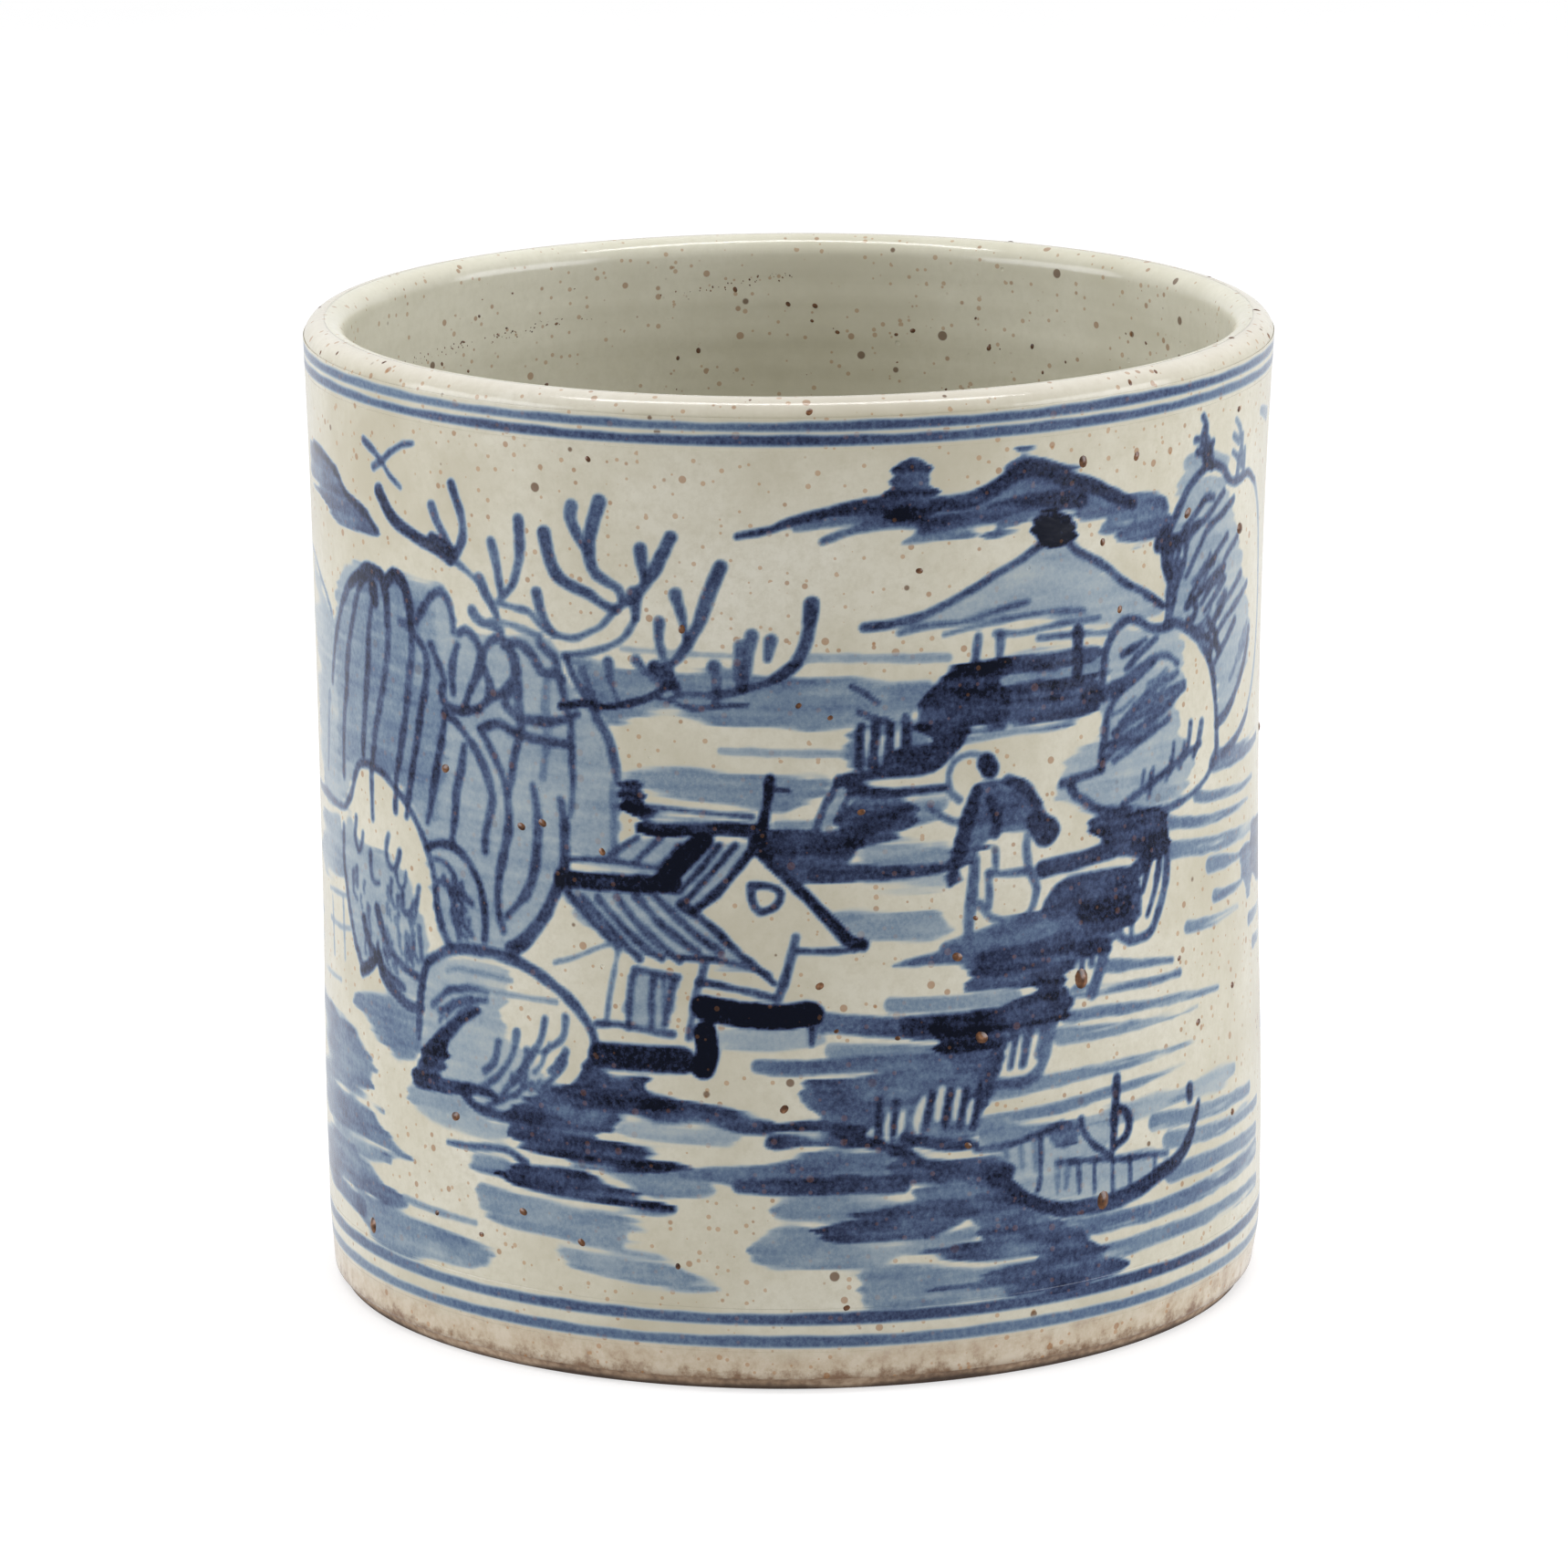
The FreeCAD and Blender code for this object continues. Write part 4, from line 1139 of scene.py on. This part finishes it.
motifs["low banks on the left"] = (
    wash(0.46, (-96, 45, -90, 46.5, -84, 45.5, -79, 42, -81, 38.5, -88, 38, -96, 40))
    + wash(
        0.82,
        (-46.2, 40.5, -45, 42.5, -40, 45.5, -36, 46.5, -34, 47.5, -32.3, 51, -30, 52, -28, 50, -22, 50,
            -21, 49,
         -22, 48, -18, 47, -12, 45.3, -8, 44.3, -3, 43.5, -3, 42, -8, 42, -12, 42.3, -18, 42.2, -25, 42.8,
         -28, 41, -30, 39.5, -27, 38.7, -22, 38, -18, 37, -14.5, 35.6, -20, 35.4, -29, 35, -34, 34.5,
         -38, 35.5, -44, 36.3, -46, 38),
        (-48.7, 31.5, -46, 33, -42, 34, -36, 34.3, -30, 33, -26, 32, -22, 30.5, -18, 29, -22, 28.8, -30, 29,
         -38, 29.3, -45, 30),
    )
    + brush(0.78, (0.8, 1.5), (-58.5, 34.5, -54, 34.7, -50, 35.2, -46, 35.3, -43, 34))
    + wash(
        0.43,
        (-52, 30, -45, 29.5, -38, 29, -30, 28.3, -22, 25.5, -25, 24.5, -22, 23.8, -26, 22.8, -18, 21, -28,
            21.5,
         -38, 22.8, -46, 23.3, -50, 24.5, -52.5, 26.5),
        (-38, 22.5, -30, 22, -20, 21, -15, 18.8, -12, 18, -16, 17, -22, 16.8, -28, 17.5, -33, 18.5, -36, 20),
        (-86, 17.5, -88, 21, -75, 21, -66, 20.5, -58, 20, -51, 19, -49, 18.3, -52, 16.5, -55, 15, -62, 14.5,
         -70, 14.3, -78, 14.8, -83, 16),
        (-30, 35, -20, 34.8, -14, 34.5, -12, 32.5, -16, 31.8, -22, 31),
    )
    + wash(0.5, (-86, 50.5, -84, 53, -80, 54.2, -74, 55.2, -68, 55.5, -65, 54, -65, 48, -66, 46, -70, 45,
        -74, 46.5,
                 -80, 48.5), (-53, 31, -53, 34, -46, 34, -46, 31))
    + wash(0.32, (-68, 41.3, -64, 42, -54, 42.5, -50, 40, -46, 39.5, -46, 36.5, -52, 36, -58, 36.3, -63,
        37.5,
                  -67, 39), (-26, 42.5, -10, 42.5, -10, 40, -24, 39.5))
    + wash(
        0.57,
        (-112, 47, -95, 47, -90, 46.8, -85, 45.3, -81, 43.5, -77, 41.3, -82, 40, -79, 39, -88, 37.5, -76,
            35.8,
         -112, 37),
        (-112, 36, -85, 35.2, -80, 35, -75, 33, -70, 30.8, -67.3, 30, -72, 29.6, -90, 29.5, -112, 29),
    )
    + wash(0.56, (-112, 27, -90, 28, -85, 26.5, -80, 26, -75, 24.5, -71, 23, -69, 22, -72, 21.5, -80, 21,
        -112, 20))
    + brush(0.37, 1.2, (-70, 23.3, -64, 23, -53, 22.8))
    + brush(0.6, 3.0, (-112, 18.5, -95, 19, -84, 18.3))
    + wash(0.42, (-98, 29.5, -76, 29.5, -76, 27, -98, 27))
    + brush(0.32, 1.0, (-112, 50.5, -104, 52, -92, 52.7))
)

motifs["river"] = (
    brush(0.36, 1.5, (1, 114.3, 8, 114.3, 15, 114, 24, 113.5))
    + brush(0.3, 1.0, (-25, 115, -7, 114.6))
    + wash(
        0.5,
        (-33, 112, -28, 112.3, -20, 111.5, -10, 112, 0, 111.5, 10, 111.5, 18, 110.5, 22, 109, 18, 104, 12,
            103.5,
         5, 103.5, -2, 104, -10, 104.5, -18, 106, -26, 104, -30, 106),
    )
    + brush(0.36, 1.3, (-10, 100.3, 0, 100, 10, 99.8, 16, 100), dryness=0.3)
    + wash(0.46, (-25, 95.5, -18, 97, -10, 97.3, 0, 97, 6, 96.5, 6, 94, 2, 92, -1, 90.5, -5, 91, -12, 92,
        -20, 93.5))
    + brush(0.4, 0.9, (-2, 89.3, 4, 89.3))
)

motifs["stooping fisher"] = (
    brush(0.94, 3.3, (30.3, 97, 30.8, 96))
    + brush(0.58, 1.2, (29.2, 98.2, 27.5, 98.6, 25.3, 97.8, 24.3, 95.8, 24.5, 93, 25.9, 91.7))
    + brush(0.58, 1.2, (21.2, 91, 23, 89.6, 25, 88.5, 27.4, 88.2))
    + wash(
        0.7,
        (29, 94.4, 33, 94.8, 36.5, 93.7, 38.9, 91, 40, 88.6, 38.5, 86.2, 35.8, 85.6, 32.4, 85.4, 29.5, 83.8,
         27.6, 82, 26.2, 80.6, 24.9, 78.6, 23.8, 80.4, 25.2, 85.5, 27.2, 89.6, 28.3, 93),
    )
    + brush(0.86, (1.6, 2.6, 2.0, 0.8), (28.8, 93, 27.6, 89.5, 26.6, 86, 25.4, 82, 24.4, 78.8))
    + brush(0.84, 1.8, (31, 91, 32, 88.5, 31.8, 86))
    + brush(0.8, 1.8, (34, 94, 37, 92.5, 38.8, 90, 39.8, 87.8))
    + brush(0.86, (3.6, 5.0), (38.8, 87, 40.5, 85.4))
    + brush(0.64, (1.6, 2.0, 1.7), (28.4, 82.5, 28.2, 79, 27.7, 75.5, 27.3, 70.3))
    + brush(0.58, 1.3, (30.6, 80, 30.8, 77, 30.6, 74.8),
            (29.2, 75.4, 31, 73.2, 34.4, 72.2, 37.6, 73.2, 38.9, 76.6, 37.6, 79.8, 37.1, 83, 37.2, 85),
            (31, 80, 34, 79.6, 38, 79.5), (31.8, 83.4, 31.9, 81))
)


def paint(marks, shift=0.0, mirrored=False):
    """Lays a motif's marks, carried round the pot by shift and turned left to right if asked."""
    for load, widths, points, dryness in marks:
        placed = points * ((-1, 1) if mirrored else (1, 1)) + (shift, -MARKED_BELOW)
        for lap in (-ROUND, 0, ROUND):
            lay(load, widths, placed + (lap, 0), dryness)


for marks in motifs.values():
    paint(marks)

# On the left the washes trail off in streaks, each row of the brush a little further on.
TRAILS_TO = -106.0
streak_ends = TRAILS_TO + 3.5 * np.sin(rise / 1.9) + 2.5 * np.sin(rise / 0.83 + 1.0)
ink *= ease(across[None] - streak_ends[:, None], -5.0, 4.0)

# Round the back the bank, hills and water go on in the same hand.
for name, shift, mirrored in (
    ("striped hills", 118, True),
    ("tall rock", 120, True),
    ("round rock", 130, True),
    ("far hills", 160, False),
    ("bare tree", 240, False),
    ("pavilion", -190, True),
    ("upper bank", -190, True),
    ("bank under the cliff", -182, False),
    ("ripples on the right", -215, False),
    ("far hills", -182, False),
    ("gable end", -166, False),
    ("small house", -166, False),
    ("boat", -222, False),
    ("ripples on the right", 82, False),
    ("middle banks and reflections", 155, True),
    ("low banks on the left", 235, False),
    ("river", 190, False),
):
    paint(motifs[name], shift, mirrored)

wall_skin = flowing(rise, OUTSIDE_Z, OUTSIDE_R)
lip_out = arc(LIP_R, LIP_Z, LIP, 0, 90, 14)
under_skin = [(LIP_R, rim_z - GLAZE)] + arc(LIP_R, LIP_Z, LIP - GLAZE, 90, 0, 8)
under_skin += [(r - GLAZE, z) for r, z in zip(OUTSIDE_R[::-1], OUTSIDE_Z[::-1])][1:]
outer_outline = list(zip(wall_skin, rise)) + lip_out + under_skin

brushed_glaze, tree, spot, surface = blank("clear_glaze_over_brushed_cobalt")
colour = glaze_body(tree, spot, "#cbc7b8", "#c1bcaa", "#b2ab96")
height = add(tree, "SeparateXYZ", {"Vector": spot})["Z"]
fog = add(tree, "TexNoise", {"Vector": spot, "Scale": 1 / 0.012, "Detail": 3.0})["Fac"]
stain_top = add(tree, "Math", {0: fog, 1: 0.006, 2: 0.006}, operation="MULTIPLY_ADD")[0]
bare_to = add(tree, "Math", {0: height, 1: stain_top}, operation="SUBTRACT")[0]
stain = add(
    tree,
    "MapRange",
    {"Value": bare_to, "From Min": -0.004, "From Max": 0.0005, "To Min": 0.75, "To Max": 0.0},
)
dirt = add(tree, "TexNoise", {"Vector": spot, "Scale": 1 / 0.004, "Detail": 6.0, "Roughness": 0.7})["Fac"]
toast = ramp(tree, dirt, (0.3, "#92705a"), (0.45, "#b29e85"), (0.62, "#c6b8a4"))
colour = blend(tree, stain[0], colour, toast)
# Painted shade: a dark brown line along the bottom of the glaze, partly toasted clay and partly the shade where
# the wall turns under into the foot.
crumb = add(
    tree,
    "MapRange",
    {"Value": dirt, "From Min": 0.3, "From Max": 0.55, "To Min": 0.0022, "To Max": 0.0},
)[0]
above = add(tree, "Math", {0: height, 1: crumb}, operation="SUBTRACT")[0]
burn_and_shade = add(
    tree,
    "MapRange",
    {"Value": above, "From Min": 0.001, "From Max": 0.0031, "To Min": 0.75, "To Max": 0.0},
)
colour = blend(tree, burn_and_shade[0], colour, linear("#6a4a34"))
# Painted light: the glaze goes paler towards the crown of the lip, a painted highlight standing in for the light
# the lip catches from above.
lip_from, lip_to = (LIP_Z + 1.2) * MM, rim_z * MM
lip_painted_light = add(
    tree,
    "MapRange",
    {"Value": height, "From Min": lip_from, "From Max": lip_to, "To Max": 0.3},
)[0]
colour = blend(tree, lip_painted_light, colour, linear("#efe9e2"))

laid = add(tree, "Attribute", attribute_name="ink")["Fac"]
grain = add(tree, "TexNoise", {"Vector": spot, "Scale": 1 / 0.0008, "Detail": 4.0, "Roughness": 0.7})["Fac"]
heap = add(
    tree,
    "MapRange",
    {"Value": grain, "From Min": 0.25, "From Max": 0.75, "To Min": 0.78, "To Max": 1.18},
)[0]
load = add(tree, "Math", {0: laid, 1: heap}, operation="MULTIPLY")[0]
cobalt = ramp(
    tree,
    load,
    (0.15, "#a6aba8"),
    (0.28, "#8e9aa1"),
    (0.42, "#6f8090"),
    (0.55, "#566881"),
    (0.68, "#3f4c69"),
    (0.82, "#29324c"),
    (0.95, "#10162a"),
    (1.0, "#050a1a"),
)
covered = add(
    tree,
    "MapRange",
    {"Value": laid, "From Min": 0.02, "From Max": 0.24},
    interpolation_type="SMOOTHSTEP",
)
colour = blend(tree, covered[0], speckled(tree, spot, colour), speckled(tree, spot, cobalt, 0.3))
glaze_shader = {"Base Color": colour, "Normal": glaze_skin(tree, spot), "Roughness": 0.18, "IOR": 1.5}
tree.links.new(add(tree, "BsdfPrincipled", glaze_shader)[0], surface)

outer_glaze = turned("outer_glaze_with_landscape", outer_outline, across / BAND, brushed_glaze)
held = outer_glaze.data.attributes.new("ink", "FLOAT", "POINT")
amounts = np.zeros((len(outer_outline), len(across)), np.float32)
amounts[: len(rise)] = ink
held.data.foreach_set("value", amounts.ravel())
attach(outer_glaze, "root")
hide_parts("outer_glaze")


# The two pairs of cobalt lines that close the drawing above and below, each
# run on the turning wheel with the tip of a loaded brush, so they are level
# and even but darken where the brush was dipped again.
BLEED = 0.75  # mm that the blue has crept past a line's edge in the firing
LINE_STANDS = 0.03  # mm that the band round a pair of lines stands off the wall


def border(name, lines, node_name):
    """A ring of glaze with a pair of lines brushed in it, a hair proud of the wall."""
    angles = np.linspace(-pi, pi, 720, endpoint=False)
    low = min(level - width / 2 for level, width, load in lines) - BLEED
    high = max(level + width / 2 for level, width, load in lines) + BLEED
    z = np.arange(low, high, 0.16)
    r = flowing(z, OUTSIDE_Z, OUTSIDE_R)
    ring = turned(
        name, list(zip(r + LINE_STANDS, z)) + list(zip(r - LINE_STANDS, z))[::-1], angles, brushed_glaze
    )
    rows = np.clip(np.searchsorted(rise, z), 0, len(rise) - 1)
    blue = np.array([np.interp(angles * BAND, across, ink[row]) for row in rows])
    for k, (level, width, load) in enumerate(lines):
        wander = (
            0.14 * np.sin(3 * angles + k) + 0.1 * np.sin(11 * angles + 2 * k) + 0.06 * np.sin(47 * angles + k)
        )
        wet = load * (1 + 0.12 * np.sin(2 * angles + 1.3 * k + 0.5) + 0.06 * np.sin(9 * angles + k))
        inside = (width + wander[None]) / 2 - np.abs(z[:, None] - level - 0.5 * wander[None])
        blue = np.maximum(blue, wet[None] * ease(inside, -0.45, 0.45))
        blue = np.maximum(blue, 0.09 * ease(inside, -BLEED, 0.1))
    amount = np.zeros((2 * len(z), len(angles)), np.float32)
    amount[: len(z)] = blue
    held = ring.data.attributes.new("ink", "FLOAT", "POINT")
    held.data.foreach_set("value", amount.ravel())
    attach(ring, "root")
    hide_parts(node_name)


border("rim_border_lines_brushed", ((148.1, 1.4, 0.62), (145.95, 1.5, 0.66)), "rim_border_lines")
border("foot_border_lines_brushed", ((11.65, 1.85, 0.66), (8.0, 1.75, 0.54)), "foot_border_lines")


# The larger iron spots: grains of iron in the clay that boiled up through the
# glaze and set as glossy brown beads, standing a little proud.
BEAD_RISE = 0.16  # share of its width that a bead stands up
iron, tree, spot, surface = blank("iron_oxide_bleed_glassy")
tone = add(tree, "TexNoise", {"Vector": spot, "Scale": 1 / 0.0009, "Detail": 3.0})["Fac"]
iron_colour = ramp(tree, tone, (0.3, "#3c2517"), (0.55, "#6a452a"), (0.75, "#946a4a"))
iron_shader = {"Base Color": iron_colour, "Roughness": 0.3, "IOR": 1.6}
tree.links.new(add(tree, "BsdfPrincipled", iron_shader)[0], surface)
outside_beads = (
    (47, 61.5, 2.9), (50.7, 26.3, 2.7), (25.5, 67.6, 1.6), (-43.5, 26.2, 1.4), (-33.3, 22.8, 1.3),
    (-56.7, 38.9, 1.7), (-80.2, 16.4, 2.4), (29.3, 54.8, 2.0), (-15.8, 118.5, 1.3), (7.7, 14.3, 1.1),
    (4.3, 64.3, 1.3), (54.2, 117.4, 1.2), (46, 141, 1.8), (50.3, 128.2, 1.2), (56.6, 140.4, 1.4),
    (69.5, 129.7, 1.8), (74.2, 49.4, 1.3), (69, 60.6, 1.0), (86.2, 32.3, 1.4), (87, 52.3, 1.3),
    (87.8, 124, 2.2), (84.8, 143, 1.2), (-30, 143.3, 1.0), (-57.4, 93, 1.6), (-17.8, 20.5, 1.0),
    (-51.8, 21.2, 1.0), (-61.5, 22.7, 1.0), (19.4, 126.9, 1.1), (1.5, 107.2, 1.0), (6.2, 105.3, 0.9),
    (-28.7, 83.8, 1.2), (-42.5, 86.2, 1.4), (-38.7, 87.2, 1.4), (10.8, 90.8, 1.2), (28.5, 73.3, 0.9),
    (-1.3, 45.4, 1.4), (16, 55.8, 0.9), (6.7, 57.3, 0.8), (26.8, 38.3, 1.2),
)
SMEAR_SPAN = (320.0, 230.0)  # mm round the wall at the two ends of a smear of iron inside
SMEAR_LOW, SMEAR_CLIMB = 138.0, 8.0
points, faces = [], []


def bead(r, z, angle, width, tilt):
    """A low dome of that width, its back to the surface: tilt is degrees up from straight outward."""
    start, sides = len(points), 12
    turn = np.arange(sides) * tau / sides
    wobble = 1 + 0.15 * np.sin(2 * turn + 7 * angle)
    up = radians(tilt)
    centre = thrown(np.array(r), np.array(z), np.array(angle))
    radial = np.array((sin(angle), -cos(angle), 0.0))
    round_it = np.array((cos(angle), sin(angle), 0.0))
    out = cos(up) * radial + np.array((0.0, 0.0, sin(up)))
    side = cos(up) * np.array((0.0, 0.0, 1.0)) - sin(up) * radial
    for share in (1.0, 0.75, 0.45, 0.0):
        height = width * BEAD_RISE * (1 - share**2) - 0.03
        reach = width / 2 * share * wobble[:, None]
        spread = np.cos(turn)[:, None] * round_it + np.sin(turn)[:, None] * side
        ring = centre + MM * (reach * spread + height * out)
        points.extend(ring if share else ring[:1])
    for row in range(2):
        for k in range(sides):
            a, b = start + row * sides + k, start + row * sides + (k + 1) % sides
            faces.append((a, b, b + sides, a + sides))
    for k in range(sides):
        faces.append((start + 2 * sides + k, start + 2 * sides + (k + 1) % sides, start + 3 * sides))


for s, z, width in outside_beads:
    bead(
        flowing(np.array([z - MARKED_BELOW]), OUTSIDE_Z, OUTSIDE_R)[0], z - MARKED_BELOW, s / BAND, width, 0
    )
for _ in range(36):
    z = chance.uniform(16, 145)
    s = chance.uniform(110, ROUND - 110)
    bead(flowing(np.array([z]), OUTSIDE_Z, OUTSIDE_R)[0], z, s / BAND, chance.uniform(0.8, 2.0), 0)
scattered = [
    (chance.uniform(0, ROUND), chance.uniform(30, 147), chance.uniform(0.25, 0.5)) for _ in range(110)
]
along = chance.uniform(0, 1, 170)
smeared = np.stack([np.interp(along, (0, 1), SMEAR_SPAN), SMEAR_LOW + SMEAR_CLIMB * along**2], -1)
smeared += chance.normal(0, 0.45, smeared.shape)
crusted = [(s, z, chance.uniform(0.18, 0.42)) for s, z in smeared]
near_lip = [
    (chance.uniform(150, 320), chance.uniform(130, 147), chance.uniform(0.5, 1.1)) for _ in range(30)
]
lip_beads = [
    (chance.uniform(-ROUND / 2, ROUND / 2), chance.uniform(15, 100), chance.uniform(0.5, 1.1)) for _ in range(20)
]
for s, z, width in scattered + crusted + near_lip:
    bead(flowing(np.array([z]), INSIDE_Z, INSIDE_R)[0], z, s / BAND, width, 180)
for s, tilt, width in lip_beads:
    up = radians(tilt)
    bead(LIP_R + LIP * cos(up), LIP_Z + LIP * sin(up), s / BAND, width, tilt)
bead_mesh = bpy.data.meshes.new("iron_spots")
bead_mesh.from_pydata(points, [], faces)
bead_mesh.shade_smooth()
bead_mesh.materials.append(iron)
iron_spots = bpy.data.objects.new("iron_spots", bead_mesh)
bpy.context.scene.collection.objects.link(iron_spots)
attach(iron_spots, "root")


# The studio: a plain white floor between a soft box at each side, with a narrow
# strip high above the pot, which draws the bright line on the lip.
FLOOR_SIZE = 6.0
floor_mesh = bpy.data.meshes.new("studio_floor")
half = FLOOR_SIZE / 2
floor_mesh.from_pydata(
    [(-half, -half, 0), (half, -half, 0), (half, half, 0), (-half, half, 0)], [], [(0, 1, 2, 3)]
)
paper, tree, spot, surface = blank("matt_white_paper")
fibre = add(tree, "TexNoise", {"Vector": spot, "Scale": 1 / 0.05, "Detail": 2.0})["Fac"]
white = ramp(tree, fibre, (0.0, "#b8b8b8"), (1.0, "#bcbcbc"))
lit_paper = {
    "Base Color": white,
    "Roughness": 0.9,
    "Emission Color": linear("#ffffff"),
    "Emission Strength": 0.6,
}
tree.links.new(add(tree, "BsdfPrincipled", lit_paper)[0], surface)
floor_mesh.materials.append(paper)
floor = bpy.data.objects.new("studio_floor", floor_mesh)
bpy.context.scene.collection.objects.link(floor)
floor.visible_glossy = False


def soft_box(name, place, aim, width, height, power, colour="#ffffff"):
    """An area light at a place in metres, turned to face another."""
    lamp = bpy.data.lights.new(name, "AREA")
    lamp.shape, lamp.size, lamp.size_y, lamp.energy = "RECTANGLE", width, height, power
    lamp.color = linear(colour)[:3]
    made = bpy.data.objects.new(name, lamp)
    bpy.context.scene.collection.objects.link(made)
    made.location = place
    made.rotation_euler = (Vector(aim) - Vector(place)).to_track_quat("-Z", "Y").to_euler()


soft_box("soft_box_left", (-1.3, -0.3, 0.3), (0, 0, 0.08), 1.1, 0.9, 12.5, "#f6f8ff")
soft_box("soft_box_right", (1.3, -0.3, 0.3), (0, 0, 0.08), 1.1, 0.9, 13.4, "#f6f8ff")
soft_box("strip_above", (0, -0.05, 1.3), (0, 0, 0.1), 1.4, 0.14, 9.0)

world = bpy.data.worlds.new("white_studio")
world.use_nodes = True
sky = world.node_tree
sky.nodes.clear()
path = add(sky, "LightPath")
way = add(sky, "SeparateXYZ", {"Vector": add(sky, "TexCoord")["Generated"]})
lifted = add(sky, "Math", {0: way["Z"], 1: 0.8, 2: way["Y"]}, operation="MULTIPLY_ADD")[0]
dim_front = add(
    sky,
    "MapRange",
    {"Value": lifted, "From Min": -1.0, "From Max": 0.6, "To Min": 0.05, "To Max": 0.72},
)[0]
behind_pot = add(
    sky,
    "MapRange",
    {"Value": way["Y"], "From Min": 0.1, "From Max": 0.8, "To Min": 0.1, "To Max": 0.85},
)[0]
mirrored = {"Value": path["Is Glossy Ray"], "To Min": dim_front, "To Max": behind_pot}
dull = add(sky, "MapRange", mirrored)[0]
glow = add(sky, "MapRange", {"Value": path["Is Camera Ray"], "To Min": dull, "To Max": 1.05})[0]
backing = add(sky, "Background", {"Color": linear("#ffffff"), "Strength": glow})[0]
sky.links.new(backing, sky.nodes.new("ShaderNodeOutputWorld").inputs["Surface"])
bpy.context.scene.world = world
bpy.context.scene.view_settings.view_transform = "Standard"

FOCAL, SENSOR = 210.24, 36.0
PITCH, ROLL = 0.2332, -0.00533
camera_data = bpy.data.cameras.new("studio_camera")
camera_data.lens, camera_data.sensor_width, camera_data.shift_x = FOCAL, SENSOR, -0.00437
camera = bpy.data.objects.new("studio_camera", camera_data)
bpy.context.scene.collection.objects.link(camera)
turned_down = Matrix.Rotation(pi / 2 - PITCH, 4, "X") @ Matrix.Rotation(ROLL, 4, "Z")
camera.matrix_world = Matrix.Translation((0, -1.39269, 0.40772)) @ turned_down
bpy.context.scene.camera = camera
